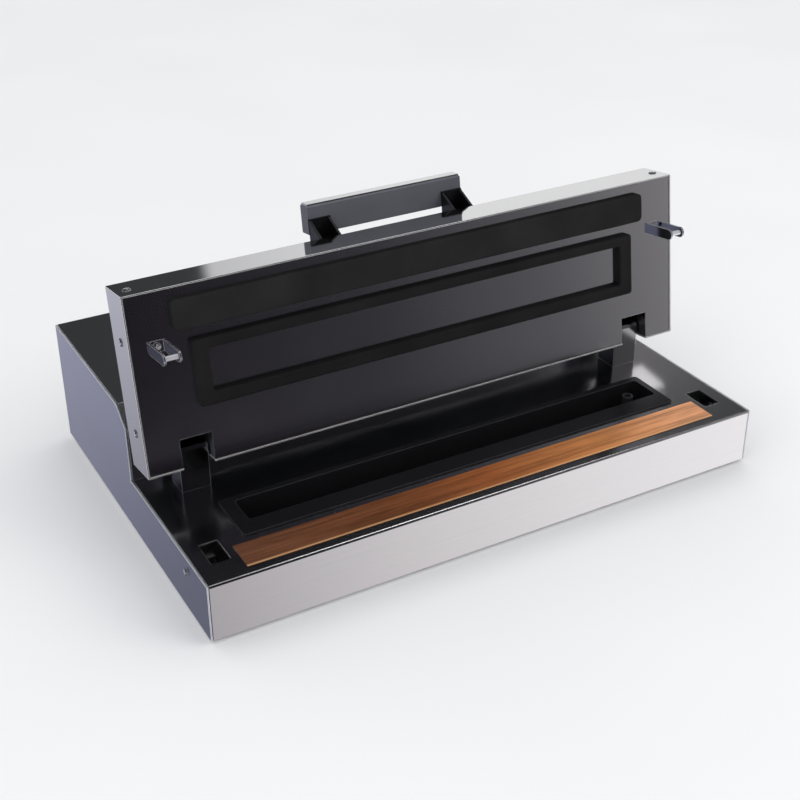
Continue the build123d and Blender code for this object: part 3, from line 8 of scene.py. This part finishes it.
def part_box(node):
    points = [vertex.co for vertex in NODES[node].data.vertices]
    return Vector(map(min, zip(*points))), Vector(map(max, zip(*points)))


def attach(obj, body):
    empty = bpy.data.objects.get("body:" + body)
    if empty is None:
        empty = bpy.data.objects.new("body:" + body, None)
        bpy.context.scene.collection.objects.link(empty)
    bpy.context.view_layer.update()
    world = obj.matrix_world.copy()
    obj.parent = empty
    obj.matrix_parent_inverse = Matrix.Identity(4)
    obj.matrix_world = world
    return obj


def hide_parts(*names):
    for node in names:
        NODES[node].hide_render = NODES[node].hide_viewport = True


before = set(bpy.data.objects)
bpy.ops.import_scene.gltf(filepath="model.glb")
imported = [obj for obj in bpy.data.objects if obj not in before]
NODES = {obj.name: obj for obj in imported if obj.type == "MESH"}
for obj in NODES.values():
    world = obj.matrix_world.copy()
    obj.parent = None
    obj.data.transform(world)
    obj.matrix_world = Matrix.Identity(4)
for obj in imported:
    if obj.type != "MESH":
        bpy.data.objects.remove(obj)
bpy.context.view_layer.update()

# Looks for a stainless external vacuum sealer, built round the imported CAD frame. Metres.

LID_BODY = "lid"
MM = 0.001

# The open lid's own frame: X along the hinge, height up the inner face, depth into the lid.
LEAN = math.radians(8.2)
LID_CORNER = Vector((0, -0.05879, 0.07949))
LID_UP = Vector((0, math.sin(LEAN), math.cos(LEAN)))
LID_IN = Vector((0, math.cos(LEAN), -math.sin(LEAN)))
SEAT_DEPTH = 0.0006
SOFT_FRONT = -0.005


def on_lid(x, height, depth):
    return LID_CORNER + Vector((x, 0, 0)) + LID_UP * height + LID_IN * depth


# ---------------------------------------------------------------- camera

AZIMUTH = math.radians(-28.34)
ELEVATION = math.radians(28.41)
ROLL = math.radians(-0.75)
CAMERA_PLACE = Vector((-0.5011, -0.8953, 0.6328))
LENS = 60.59
SHIFT = (0.0240, -0.0356)


def make_camera():
    """The camera at the reference view: level right axis turned by the azimuth, then rolled."""
    back = Vector(
        (
            math.sin(AZIMUTH) * math.cos(ELEVATION),
            -math.cos(AZIMUTH) * math.cos(ELEVATION),
            math.sin(ELEVATION),
        )
    )
    level = Vector((math.cos(AZIMUTH), math.sin(AZIMUTH), 0))
    lift = back.cross(level)
    right = level * math.cos(ROLL) + lift * math.sin(ROLL)
    up = lift * math.cos(ROLL) - level * math.sin(ROLL)
    turn = Matrix((right, up, back)).transposed().to_4x4()
    data = bpy.data.cameras.new("camera")
    data.lens = LENS
    data.sensor_width = 36.0
    data.shift_x, data.shift_y = SHIFT
    data.clip_start = 0.02
    camera = bpy.data.objects.new("camera", data)
    camera.matrix_world = Matrix.Translation(CAMERA_PLACE) @ turn
    bpy.context.scene.collection.objects.link(camera)
    bpy.context.scene.camera = camera


make_camera()

# ---------------------------------------------------------------- node helpers


class Nodes:
    """A node tree, built by short calls."""

    def __init__(self, tree):
        self.tree = tree

    def add(self, kind, inputs=None, **settings):
        node = self.tree.nodes.new(kind)
        for key, value in settings.items():
            setattr(node, key, value)
        for key, value in (inputs or {}).items():
            self.feed(node.inputs[key], value)
        return node

    def feed(self, socket, value):
        if isinstance(value, bpy.types.NodeSocket):
            self.tree.links.new(value, socket)
        else:
            socket.default_value = value

    def spread(self, value, low, high, from_low=0.3, from_high=0.7, smooth=False):
        """Maps a number from one range to another, and keeps it inside."""
        inputs = {
            "Value": value,
            "From Min": from_low,
            "From Max": from_high,
            "To Min": low,
            "To Max": high,
        }
        kind = "SMOOTHSTEP" if smooth else "LINEAR"
        return self.add("ShaderNodeMapRange", inputs, interpolation_type=kind).outputs["Result"]

    def sum(self, a, b, operation="ADD"):
        return self.add("ShaderNodeMath", {0: a, 1: b}, operation=operation).outputs["Value"]

    def mix(self, factor, a, b):
        """Mixes two colours."""
        node = self.add("ShaderNodeMix", data_type="RGBA")
        self.feed(node.inputs["Factor"], factor)
        self.feed(node.inputs["A"], a)
        self.feed(node.inputs["B"], b)
        return node.outputs["Result"]

    def ramp(self, value, stops):
        """A colour for each of several values of a number between 0 and 1."""
        node = self.add("ShaderNodeValToRGB", {"Fac": value})
        elements = node.color_ramp.elements
        while len(elements) < len(stops):
            elements.new(0.5)
        for element, (place, colour) in zip(elements, stops):
            element.position = place
            element.color = tuple(colour) + (1,)
        return node.outputs["Color"]


class Shader(Nodes):
    """A node material round one main shader."""

    def __init__(self, name):
        self.material = bpy.data.materials.new(name)
        self.material.use_nodes = True
        super().__init__(self.material.node_tree)
        self.bsdf = self.tree.nodes["Principled BSDF"]
        self.coordinates = self.add("ShaderNodeTexCoord").outputs["Object"]

    def set(self, **values):
        """Sets the main shader's sockets: colours, numbers or other nodes' outputs."""
        for key, value in values.items():
            self.feed(self.bsdf.inputs[key.replace("_", " ")], value)

    def place(self, scale, rotation=(0, 0, 0)):
        node = self.add("ShaderNodeMapping", {"Vector": self.coordinates})
        node.inputs["Scale"].default_value = scale
        node.inputs["Rotation"].default_value = rotation
        return node.outputs["Vector"]

    def noise(self, scale, detail=2.0, stretch=(1, 1, 1), rough=0.5, rotation=(0, 0, 0)):
        inputs = {
            "Vector": self.place(stretch, rotation),
            "Scale": scale,
            "Detail": detail,
            "Roughness": rough,
        }
        return self.add("ShaderNodeTexNoise", inputs).outputs["Fac"]

    def rounded(self, radius):
        """Normals rounded over each edge, as a real edge is."""
        return self.add("ShaderNodeBevel", {"Radius": radius}, samples=6).outputs["Normal"]

    def edges(self, rounded, low=0.86, high=0.99):
        """1 on the rounded edges, 0 on the faces."""
        face = self.add("ShaderNodeNewGeometry").outputs["Normal"]
        same = self.add("ShaderNodeVectorMath", {0: rounded, 1: face}, operation="DOT_PRODUCT")
        return self.spread(same.outputs["Value"], 1, 0, low, high)

    def bump(self, height, strength, distance, normal=None):
        inputs = {"Height": height, "Strength": strength, "Distance": distance}
        if normal is not None:
            inputs["Normal"] = normal
        self.feed(self.bsdf.inputs["Normal"], self.add("ShaderNodeBump", inputs).outputs["Normal"])


def shade(value, tint=(1, 1, 1)):
    return (value * tint[0], value * tint[1], value * tint[2], 1)


# ---------------------------------------------------------------- materials

ALONG_X = (1, 60, 60)
ALONG_Y = (60, 1, 60)
ALONG_Z = (60, 60, 1)


def steel(
    name,
    tone,
    roughness,
    stretch=ALONG_X,
    grain=0.003,
    tint=(1, 1, 1.01),
    edge=0.0006,
    matt_edge_spread=0,
    rim=0.95,
):
    """Rolled stainless: hairline grain along one direction, faint smudges, and painted light along
    the edges.

    edge is how far edges are rounded, and rim is the tone painted on the edges: a pale rim paints a
    highlight line, a dark rim a shade line. A larger edge spread makes the painted edge lines wider
    and matt.
    """
    s = Shader(name)
    hair = s.noise(18, 3, stretch, 0.6)
    fine = s.noise(70, 2, stretch, 0.5)
    smudge = s.noise(9, 4, (1, 1, 1), 0.6)
    rounded = s.rounded(edge)
    # Edge mask for the painted edge line: a highlight where rim is pale, a shade line where rim is
    # dark.
    painted_edge = s.edges(rounded, 0.86 + 0.11 * matt_edge_spread, 0.99 + 0.008 * matt_edge_spread)
    face = s.mix(s.spread(hair, 0, 1), shade(tone * 0.97, tint), shade(tone, tint))
    shine = s.spread(fine, roughness * 0.93, roughness * 1.07)
    shine = s.sum(shine, s.spread(smudge, -0.01, 0.015))
    s.set(
        # Painted edge line mixed over the grained face.
        Base_Color=s.mix(painted_edge, face, shade(rim)),
        Metallic=s.spread(painted_edge, 1, 1 - matt_edge_spread, 0, 1) if matt_edge_spread else 1.0,
        Roughness=s.sum(shine, s.sum(painted_edge, 0.22, "MULTIPLY")),
    )
    s.bump(s.sum(hair, fine), grain, 0.0001, rounded)
    return s.material


def plastic(name, colour, roughness, texture=900, depth=0.08, gloss=0.5, painted_edge=2.2):
    """Moulded plastic: fine spark-eroded texture, slightly uneven shine, and painted highlights
    along the edges.
    """
    s = Shader(name)
    pebble = s.noise(texture, 2)
    patch = s.noise(14, 3)
    rounded = s.rounded(0.0005)
    dark = tuple(c * 0.85 for c in colour) + (1,)
    # Painted highlight for the edges: the plastic's colour brightened several times.
    painted_highlight = tuple(min(1.0, c * painted_edge + 0.01) for c in colour) + (1,)
    face = s.mix(s.spread(patch, 0, 1), dark, tuple(colour) + (1,))
    s.set(
        Base_Color=s.mix(s.edges(rounded), face, painted_highlight),
        Roughness=s.spread(patch, roughness * 0.9, roughness * 1.12),
        Specular_IOR_Level=gloss,
    )
    s.bump(pebble, depth, 0.0002, rounded)
    return s.material


def rubber(name, tone, roughness=0.75, pores=1500, depth=0.25):
    """Soft black rubber or sponge: pores, dust-grey patches."""
    s = Shader(name)
    pore = s.noise(pores, 3, (1, 1, 1), 0.7)
    patch = s.noise(22, 4)
    s.set(
        Base_Color=s.mix(s.spread(patch, 0, 1), shade(tone), shade(tone * 1.7)),
        Roughness=s.spread(pore, roughness * 0.9, min(1.0, roughness * 1.1)),
        Specular_IOR_Level=0.3,
    )
    s.bump(pore, depth, 0.0003)
    return s.material


def metal(name, colour, roughness, depth=0.03, texture=300, metallic=1.0):
    """Small metal parts: tooled surface, and painted shade in the recesses."""
    s = Shader(name)
    tool = s.noise(texture, 2, (1, 8, 8))
    patch = s.noise(40, 3)
    painted_shade_occlusion = s.add("ShaderNodeAmbientOcclusion", {"Distance": 0.0015}, samples=6).outputs["AO"]
    dark = tuple(c * 0.9 for c in colour) + (1,)
    face = s.mix(s.spread(patch, 0, 1), dark, tuple(colour) + (1,))
    s.set(
        # Painted shade: near-black where ambient occlusion finds a recess.
        Base_Color=s.mix(s.spread(painted_shade_occlusion, 0, 1, 0.25, 0.6), (0.02, 0.02, 0.022, 1), face),
        Metallic=metallic,
        Roughness=s.spread(tool, roughness * 0.85, roughness * 1.2),
    )
    s.bump(tool, depth, 0.0001, s.rounded(0.0003))
    return s.material


def tape_cloth():
    """Brown PTFE-coated glass cloth: lengthwise streaks, fine cross weave, browned and darker at
    one end.
    The colour along the length is partly heat browning and partly painted light, brighter to the
    right, and the front edge carries a painted highlight.
    """
    s = Shader("ptfe_tape")
    low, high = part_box("ptfe_tape")
    streak = s.noise(24, 5, (0.30, 11, 11), 0.7)
    thread = s.noise(150, 2, (0.5, 9, 9), 0.5)
    blotch = s.noise(14, 3, (1, 2, 2), 0.5)
    weave = s.add(
        "ShaderNodeTexWave",
        {"Vector": s.coordinates, "Scale": 320.0, "Distortion": 1.2, "Detail": 1.0},
        bands_direction="X",
    ).outputs["Fac"]
    place = s.add("ShaderNodeSeparateXYZ", {"Vector": s.coordinates})
    # Colour along the tape: heat browning at the left end, and painted light brightening the right
    # end.
    tan_with_painted_light = s.ramp(
        s.spread(place.outputs["X"], 0, 1, low.x, high.x),
        (
            (0.02, (0.170, 0.066, 0.032)),
            (0.25, (0.185, 0.062, 0.022)),
            (0.50, (0.345, 0.104, 0.028)),
            (0.75, (0.610, 0.240, 0.076)),
            (0.94, (0.900, 0.410, 0.190)),
        ),
    )
    browned = s.mix(0.55, tan_with_painted_light, (0.02, 0.004, 0.001, 1))
    ground = s.mix(s.spread(streak, 0, 1, 0.38, 0.60), browned, tan_with_painted_light)
    ground = s.mix(s.spread(thread, 0, 0.45, 0.45, 0.7), ground, tan_with_painted_light)
    ground = s.mix(s.spread(blotch, 0, 0.6, 0.5, 0.75), ground, browned)
    # Painted highlight along the tape's front edge.
    painted_front_highlight = s.spread(place.outputs["Y"], 0.7, 0.0, low.y, low.y + 0.0022)
    ground = s.mix(painted_front_highlight, ground, (0.66, 0.36, 0.16, 1))
    s.set(Base_Color=ground, Roughness=s.spread(thread, 0.34, 0.5), Specular_IOR_Level=0.4)
    s.bump(s.sum(s.sum(weave, 0.5, "MULTIPLY"), thread), 0.15, 0.0002, s.rounded(0.0004))
    return s.material


def winding_wire():
    """Enamelled copper wire, wound round a vertical axis."""
    s = Shader("winding_wire")
    turns = s.add(
        "ShaderNodeTexWave",
        {"Vector": s.coordinates, "Scale": 260.0},
        bands_direction="Z",
    ).outputs["Fac"]
    s.set(
        Base_Color=s.mix(turns, (0.16, 0.05, 0.02, 1), (0.55, 0.22, 0.09, 1)),
        Metallic=0.8,
        Roughness=s.spread(turns, 0.45, 0.3),
    )
    s.bump(turns, 0.6, 0.0004)
    return s.material


def laminated_iron():
    """Varnished core plates stacked from front to back."""
    s = Shader("laminated_iron")
    plates = s.add(
        "ShaderNodeTexWave",
        {"Vector": s.coordinates, "Scale": 300.0, "Distortion": 0.6},
        bands_direction="Y",
    ).outputs["Fac"]
    s.set(
        Base_Color=s.mix(plates, (0.03, 0.03, 0.032, 1), (0.13, 0.12, 0.12, 1)),
        Metallic=0.5,
        Roughness=s.spread(plates, 0.6, 0.42),
    )
    s.bump(plates, 0.4, 0.0003)
    return s.material


def clear_lens():
    """A tinted indicator lens."""
    s = Shader("clear_lens")
    swirl = s.noise(500, 2)
    s.set(
        Base_Color=s.mix(s.spread(swirl, 0, 1), (0.25, 0.75, 0.32, 1), (0.40, 0.90, 0.45, 1)),
        Roughness=s.spread(swirl, 0.05, 0.15),
        Transmission_Weight=0.7,
        IOR=1.49,
    )
    s.bump(swirl, 0.05, 0.0001)
    return s.material


BASE_STEEL = steel("base_steel", 0.86, 0.17, grain=0.0015)
# Side panels: darker and bluish, a painted reflection of the dim blue-grey surroundings; pale edges
# paint highlight lines.
SIDE_STEEL = steel(
    "side_steel", 0.62, 0.22, ALONG_Y, tint=(0.90, 0.94, 1.16), edge=0.0009, matt_edge_spread=0.9
)
TOP_STEEL = steel("top_steel", 0.74, 0.18)
# Lid shell: wide pale edges paint the highlight line along the lid's rims.
LID_STEEL = steel("lid_steel", 0.84, 0.06, grain=0.0005, edge=0.0007, matt_edge_spread=0.85)
# Lid inner panel: a dark tone on its edges paints the shade line of the gap round the panel.
PANEL_STEEL = steel(
    "panel_steel", 0.78, 0.11, grain=0.0015, edge=0.0008, matt_edge_spread=0.9, rim=0.03
)
# Hinge brackets: a darkened copy of the steel, painted shade for the brackets' dark look.
BRACKET_STEEL = steel("bracket_steel", 0.36, 0.16, ALONG_Z)
# Latch stirrups: a bluish tint, a painted reflection of the blue-grey surroundings; pale edges
# paint highlight lines.
STIRRUP_STEEL = steel(
    "stirrup_steel", 0.62, 0.14, tint=(0.96, 0.96, 1.08), edge=0.0003, matt_edge_spread=0.9
)
SCREW_STEEL = steel("screw_steel", 0.45, 0.16, edge=0.0006, matt_edge_spread=0.9)
CHROME = metal("chrome", (0.86, 0.86, 0.88), 0.09, 0.01)
BRIGHT_PIN = metal("bright_pin", (0.90, 0.90, 0.93), 0.16, 0.01, metallic=0.6)
ZINC = metal("zinc_steel", (0.62, 0.62, 0.60), 0.38)
TRIM = steel("trim_silver", 0.88, 0.14, grain=0.002, edge=0.0003)
BRASS = metal("brass", (0.75, 0.56, 0.26), 0.28)
CAST = metal("cast_aluminium", (0.55, 0.55, 0.56), 0.5, 0.3, 500)
NICHROME = metal("nichrome", (0.50, 0.48, 0.45), 0.35)
# The trough's edges get a strong painted highlight.
TROUGH = plastic("trough_black", (0.009, 0.009, 0.010), 0.30, 500, 0.03, painted_edge=9)
BLACK_PLASTIC = plastic("plastic_black", (0.018, 0.018, 0.020), 0.42)
HANDLE_BLACK = plastic("handle_black", (0.115, 0.115, 0.135), 0.30, 1200, 0.04)
FOOT_BLACK = plastic("handle_foot_black", (0.004, 0.004, 0.005), 0.30, 1200, 0.04)
KNOB_BLACK = plastic("knob_black", (0.016, 0.016, 0.018), 0.30)
BUTTON_GREY = plastic("button_grey", (0.22, 0.23, 0.25), 0.32)
FASCIA = plastic("fascia_dark", (0.030, 0.034, 0.040), 0.34, 700, 0.05)
BAKELITE = plastic("bakelite_brown", (0.12, 0.055, 0.035), 0.42)
MOTOR_PAINT = plastic("motor_paint", (0.08, 0.09, 0.10), 0.4, 600, 0.12)
BOARD_GREEN = plastic("board_green", (0.02, 0.16, 0.06), 0.35, 250, 0.2)
FOOT_RUBBER = rubber("foot_rubber", 0.020, 0.7, 900)
FOAM = rubber("foam_sponge", 0.0105, 0.9, 1800, 0.35)
GASKET = rubber("gasket_rubber", 0.0065, 0.62, 1200, 0.12)
HOSE = plastic("hose_silicone", (0.62, 0.62, 0.58), 0.3, 400, 0.05)
TAPE = tape_cloth()
COPPER = winding_wire()
IRON = laminated_iron()
LENS_GLASS = clear_lens()

FINISH = {
    "left_side_panel": SIDE_STEEL,
    "right_side_panel": SIDE_STEEL,
    "front_cover": BASE_STEEL,
    "rear_cover": TOP_STEEL,
    "back_panel": BASE_STEEL,
    "bottom_pan": ZINC,
    "rubber_feet": FOOT_RUBBER,
    "base_screws": SCREW_STEEL,
    "seal_bar_carrier": BAKELITE,
    "heating_element": NICHROME,
    "element_terminals": BRASS,
    "ptfe_tape": TAPE,
    "vacuum_trough": TROUGH,
    "suction_port": BLACK_PLASTIC,
    "left_hinge_bracket": BRACKET_STEEL,
    "right_hinge_bracket": BRACKET_STEEL,
    "hinge_bushes": BRASS,
    "catch_brackets": ZINC,
    "catch_pivots": CHROME,
    "catch_springs": ZINC,
    "left_catch_hook": ZINC,
    "right_catch_hook": ZINC,
    "micro_switch": BLACK_PLASTIC,
    "switch_plunger": BUTTON_GREY,
    "pump_motor": MOTOR_PAINT,
    "pump_rotor": ZINC,
    "pump_crankcase": CAST,
    "pump_heads": CAST,
    "pump_mounts": FOOT_RUBBER,
    "release_valve": BLACK_PLASTIC,
    "vacuum_hose": HOSE,
    "transformer_core": IRON,
    "transformer_winding": COPPER,
    "control_fascia": FASCIA,
    "vacuum_button": BUTTON_GREY,
    "seal_button": BUTTON_GREY,
    "stop_button": BUTTON_GREY,
    "seal_time_knob": KNOB_BLACK,
    "indicator_lenses": LENS_GLASS,
    "control_board": BOARD_GREEN,
    "board_standoffs": BRASS,
    "power_inlet": BLACK_PLASTIC,
    "inlet_pins": BRASS,
    "switch_housing": BLACK_PLASTIC,
    "power_rocker": KNOB_BLACK,
    "fan_frame": BLACK_PLASTIC,
    "fan_rotor": BLACK_PLASTIC,
    "fan_guard": CHROME,
    "lid_shell": LID_STEEL,
    "lid_inner_panel": PANEL_STEEL,
    "lid_screws": SCREW_STEEL,
    "hinge_ears": ZINC,
    "latch_stirrups": STIRRUP_STEEL,
    "lid_pins": BRIGHT_PIN,
    "pressure_beam": ZINC,
    "pressure_foam": FOAM,
    "vacuum_gasket": GASKET,
    "handle_bar": HANDLE_BLACK,
    "handle_trim": TRIM,
    "handle_feet": FOOT_BLACK,
}

for node, finish in FINISH.items():
    mesh = NODES[node].data
    mesh.materials.clear()
    mesh.materials.append(finish)

# The satin steel blurs these too much to show them as clear mirror images.
for node in ("ptfe_tape", "latch_stirrups", "lid_pins", "lid_screws"):
    NODES[node].visible_glossy = False

# ---------------------------------------------------------------- soft pieces on the lid


def add_piece(name, vertices, faces, material):
    mesh = bpy.data.meshes.new(name)
    mesh.from_pydata([tuple(v) for v in vertices], [], faces)
    mesh.materials.append(material)
    tool = bmesh.new()
    tool.from_mesh(mesh)
    bmesh.ops.recalc_face_normals(tool, faces=tool.faces)
    for face in tool.faces:
        face.smooth = True
    tool.to_mesh(mesh)
    tool.free()
    piece = bpy.data.objects.new(name, mesh)
    bpy.context.scene.collection.objects.link(piece)
    return piece


def spacing(half, corner, step):
    """Places along one side of a pad, close together near its ends."""
    near = [0, 0.15, 0.4, 0.8, 1.3, 2.0, 3.0, corner / MM]
    ends = [half - n * MM for n in near]
    count = max(1, round(2 * ends[-1] / step))
    middle = [ends[-1] - 2 * ends[-1] * i / count for i in range(1, count)]
    return ends + middle + [-e for e in reversed(ends)]


def foam_strip():
    """Closed-cell foam cut from sheet: round corners, soft top edges, a slightly uneven face."""
    half_x, low, high = 0.2155, 0.111, 0.1355
    half_y = (high - low) / 2
    corner, edge = 0.0045, 0.0016
    uneven, crown, crown_width, wander = 0.0002, 0.00035, 0.008, 0.00022
    thick = SEAT_DEPTH - SOFT_FRONT
    columns = spacing(half_x, corner, 0.006)
    rows = spacing(half_y, corner, 0.003)
    vertices = []
    for i, x in enumerate(columns):
        for j, y in enumerate(rows):
            over_x = abs(x) - (half_x - corner)
            over_y = abs(y) - (half_y - corner)
            inside = min(half_x - abs(x), half_y - abs(y))
            px, py = x, y
            if over_x > 0 and over_y > 0:
                pull = max(over_x, over_y) / math.hypot(over_x, over_y)
                px = math.copysign(half_x - corner + over_x * pull, x)
                py = math.copysign(half_y - corner + over_y * pull, y)
            step = edge - min(inside, edge)
            rise = thick - edge + math.sqrt(edge * edge - step * step)
            place = Vector((px, py, 0))
            rise += uneven * (noise.noise(place * 45) - 1) * min(1, inside / edge)
            rise += crown * (min(1, inside / crown_width) - 1)
            py += wander * noise.noise(Vector((px * 30, 7, y * 20)))
            vertices.append(on_lid(px, (low + high) / 2 + py, SEAT_DEPTH - rise))
    wide, tall = len(columns), len(rows)
    faces = [
        (i * tall + j, i * tall + j + 1, (i + 1) * tall + j + 1, (i + 1) * tall + j)
        for i in range(wide - 1)
        for j in range(tall - 1)
    ]
    rim = list(range(tall))
    rim += [i * tall + tall - 1 for i in range(1, wide)]
    rim += [(wide - 1) * tall + j for j in range(tall - 2, -1, -1)]
    rim += [i * tall for i in range(wide - 2, 0, -1)]
    start = len(vertices)
    for index in rim:
        top = vertices[index]
        depth = (top - LID_CORNER).dot(LID_IN)
        vertices.append(top + LID_IN * (SEAT_DEPTH - depth))
    for k in range(len(rim)):
        n = (k + 1) % len(rim)
        faces.append((rim[k], rim[n], start + n, start + k))
    return add_piece("foam_strip", vertices, faces, FOAM)


def rounded_path(half_x, low, high, corner, run):
    """Points round a rectangle with small round corners: the same number for any size."""
    points = []
    turn = 5
    half_y = (high - low) / 2
    middle = (high + low) / 2
    for cx, cy, first in ((1, -1, -90), (1, 1, 0), (-1, 1, 90), (-1, -1, 180)):
        for k in range(turn + 1):
            angle = math.radians(first + 90 * k / turn)
            px = cx * (half_x - corner) + corner * math.cos(angle)
            py = middle + cy * (half_y - corner) + corner * math.sin(angle)
            points.append((px, py))
    full = []
    for k, point in enumerate(points):
        full.append(point)
        if k % (turn + 1) == turn:
            after = points[(k + 1) % len(points)]
            dx, dy = after[0] - point[0], after[1] - point[1]
            count = run[0] if abs(dx) > abs(dy) else run[1]
            for m in range(1, count):
                share = m / count
                full.append((point[0] + dx * share, point[1] + dy * share))
    return full


def gasket_ring():
    """Moulded rubber ring: rounded lips on both sides of a slightly sunk flat."""
    outer = rounded_path(0.2033, 0.048, 0.102, 0.0028, (60, 8))
    inner = rounded_path(0.1903, 0.0586, 0.093, 0.0012, (60, 8))
    thick = SEAT_DEPTH - SOFT_FRONT
    profile = (
        (0.0, 0.0),
        (0.0, thick * 0.55),
        (0.005, thick * 0.82),
        (0.035, thick * 0.93),
        (0.09, thick * 0.985),
        (0.17, thick),
        (0.26, thick * 0.975),
        (0.5, thick * 0.965),
        (0.74, thick * 0.975),
        (0.83, thick),
        (0.91, thick * 0.985),
        (0.965, thick * 0.93),
        (0.995, thick * 0.82),
        (1.0, thick * 0.55),
        (1.0, 0.0),
    )
    vertices, faces = [], []
    for share, rise in profile:
        for a, b in zip(outer, inner):
            x = a[0] + (b[0] - a[0]) * share
            y = a[1] + (b[1] - a[1]) * share
            wave = 0.00012 * noise.noise(Vector((x * 25, y * 25, 3))) * (rise > 0)
            vertices.append(on_lid(x, y + wave, SEAT_DEPTH - rise - wave))
    count = len(outer)
    for level in range(len(profile) - 1):
        for k in range(count):
            n = (k + 1) % count
            near, far = level * count, (level + 1) * count
            faces.append((near + k, near + n, far + n, far + k))
    return add_piece("gasket_ring", vertices, faces, GASKET)


foam = foam_strip()
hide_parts("pressure_foam")
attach(foam, LID_BODY)

gasket = gasket_ring()
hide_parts("vacuum_gasket")
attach(gasket, LID_BODY)

# ---------------------------------------------------------------- floor and light

bpy.context.scene.view_settings.view_transform = "Standard"


def make_stage():
    """A plain pale floor. Reflections see the studio's own pale table instead."""
    half = 9.0
    mesh = bpy.data.meshes.new("floor")
    corners = [(-half, -half, 0), (half, -half, 0), (half, half, 0), (-half, half, 0)]
    mesh.from_pydata(corners, [], [(0, 1, 2, 3)])
    floor = bpy.data.objects.new("floor", mesh)
    floor.location = (0, 0, -0.0005)
    bpy.context.scene.collection.objects.link(floor)
    s = Shader("floor")
    paper = s.noise(3, 2)
    s.set(
        Base_Color=s.mix(s.spread(paper, 0, 1), shade(0.885), shade(0.9)),
        Roughness=s.spread(paper, 0.75, 0.85),
    )
    mesh.materials.append(s.material)
    floor.visible_glossy = False


def make_world():
    """Pale for the camera and for soft light. Reflections see a dark room, table and soft boxes."""
    world = bpy.data.worlds.new("studio")
    bpy.context.scene.world = world
    world.use_nodes = True
    world.cycles.sampling_method = "NONE"
    s = Nodes(world.node_tree)
    way = s.add("ShaderNodeTexCoord").outputs["Generated"]
    x, y, z = s.add("ShaderNodeSeparateXYZ", {"Vector": way}).outputs
    across = s.spread(x, 0, 1, -1, 1)

    table = s.ramp(
        across,
        (
            (0.10, (0.24, 0.25, 0.40)),
            (0.30, (0.40, 0.41, 0.52)),
            (0.385, (0.50, 0.50, 0.58)),
            (0.45, (0.46, 0.45, 0.48)),
            (0.60, (0.34, 0.32, 0.345)),
            (0.70, (0.68, 0.65, 0.66)),
            (0.82, (1.0, 0.98, 0.99)),
        ),
    )
    far_table = s.spread(z, 1, 0.38, -0.40, -0.60)
    left = s.spread(x, 0, 1, 0.05, -0.15)
    dim = s.sum(1, s.sum(left, s.sum(1, far_table, "SUBTRACT"), "MULTIPLY"), "SUBTRACT")
    table = s.mix(dim, (0, 0, 0, 1), table)

    front_room = s.ramp(
        across,
        (
            (0.20, (0.16, 0.17, 0.22)),
            (0.45, (0.05, 0.05, 0.06)),
            (0.61, (0.009, 0.007, 0.011)),
            (0.71, (0.032, 0.031, 0.037)),
            (0.77, (0.100, 0.098, 0.108)),
            (0.83, (0.30, 0.29, 0.30)),
        ),
    )
    back_edge = s.spread(x, 0, 1, 0.312, 0.323, True)
    low_rise = s.spread(z, 0, 1, -0.02, 0.03, True)
    high_fall = s.spread(z, 1, 0, 0.19, 0.36, True)
    wall = s.sum(back_edge, s.sum(low_rise, high_fall, "MULTIPLY"), "MULTIPLY")
    right = s.spread(x, 0, 1, 0.32, 0.45)
    light_wall = s.mix(right, (0.58, 0.58, 0.59, 1), (0.80, 0.80, 0.80, 1))
    back_room = s.mix(wall, (0.042, 0.044, 0.046, 1), light_wall)
    room = s.mix(s.spread(y, 0, 1, -0.12, 0.12), front_room, back_room)
    ceiling = s.spread(z, 0, 1, 0.86, 0.97, True)
    room = s.mix(ceiling, room, (0.26, 0.26, 0.27, 1))
    seen = s.mix(s.spread(z, 0, 1, -0.29, -0.37, True), room, table)

    boxes = (
        ((0.42, 0.10, 0.90), 5, 10, (2.6, 2.6, 2.6)),
        ((-0.46, 0.77, 0.40), 8, 18, (1.1, 1.15, 1.3)),
        ((-0.81, -0.46, -0.30), 8, 18, (1.2, 1.2, 1.3)),
        ((0.579, 0.69, 0.43), 1.0, 5.0, (0.20, 0.19, 0.195)),
    )
    for direction, inner, outer, colour in boxes:
        aim = Vector(direction).normalized()
        near = s.add("ShaderNodeVectorMath", {0: way, 1: tuple(aim)}, operation="DOT_PRODUCT")
        rim, core = math.cos(math.radians(outer)), math.cos(math.radians(inner))
        share = s.spread(near.outputs["Value"], 0, 1, rim, core, True)
        seen = s.mix(share, seen, tuple(colour) + (1,))

    glossy = s.add("ShaderNodeLightPath").outputs["Is Glossy Ray"]
    colour = s.mix(glossy, (0.96, 0.965, 0.98, 1), seen)
    s.feed(s.tree.nodes["Background"].inputs["Color"], colour)


def area_light(name, place, target, size, power, colour=(1, 1, 1)):
    data = bpy.data.lights.new(name, "AREA")
    data.shape = "RECTANGLE"
    data.size, data.size_y = size
    data.energy = power
    data.color = colour
    light = bpy.data.objects.new(name, data)
    light.location = place
    light.rotation_euler = (Vector(target) - Vector(place)).to_track_quat("-Z", "Y").to_euler()
    light.visible_glossy = False
    bpy.context.scene.collection.objects.link(light)


make_stage()
make_world()
area_light("key", (1.3, -1.5, 1.3), (0, 0, 0.1), (1.2, 0.9), 9)
area_light("fill", (-1.6, -0.6, 0.9), (0, 0, 0.1), (1.0, 0.8), 3, (0.85, 0.9, 1))
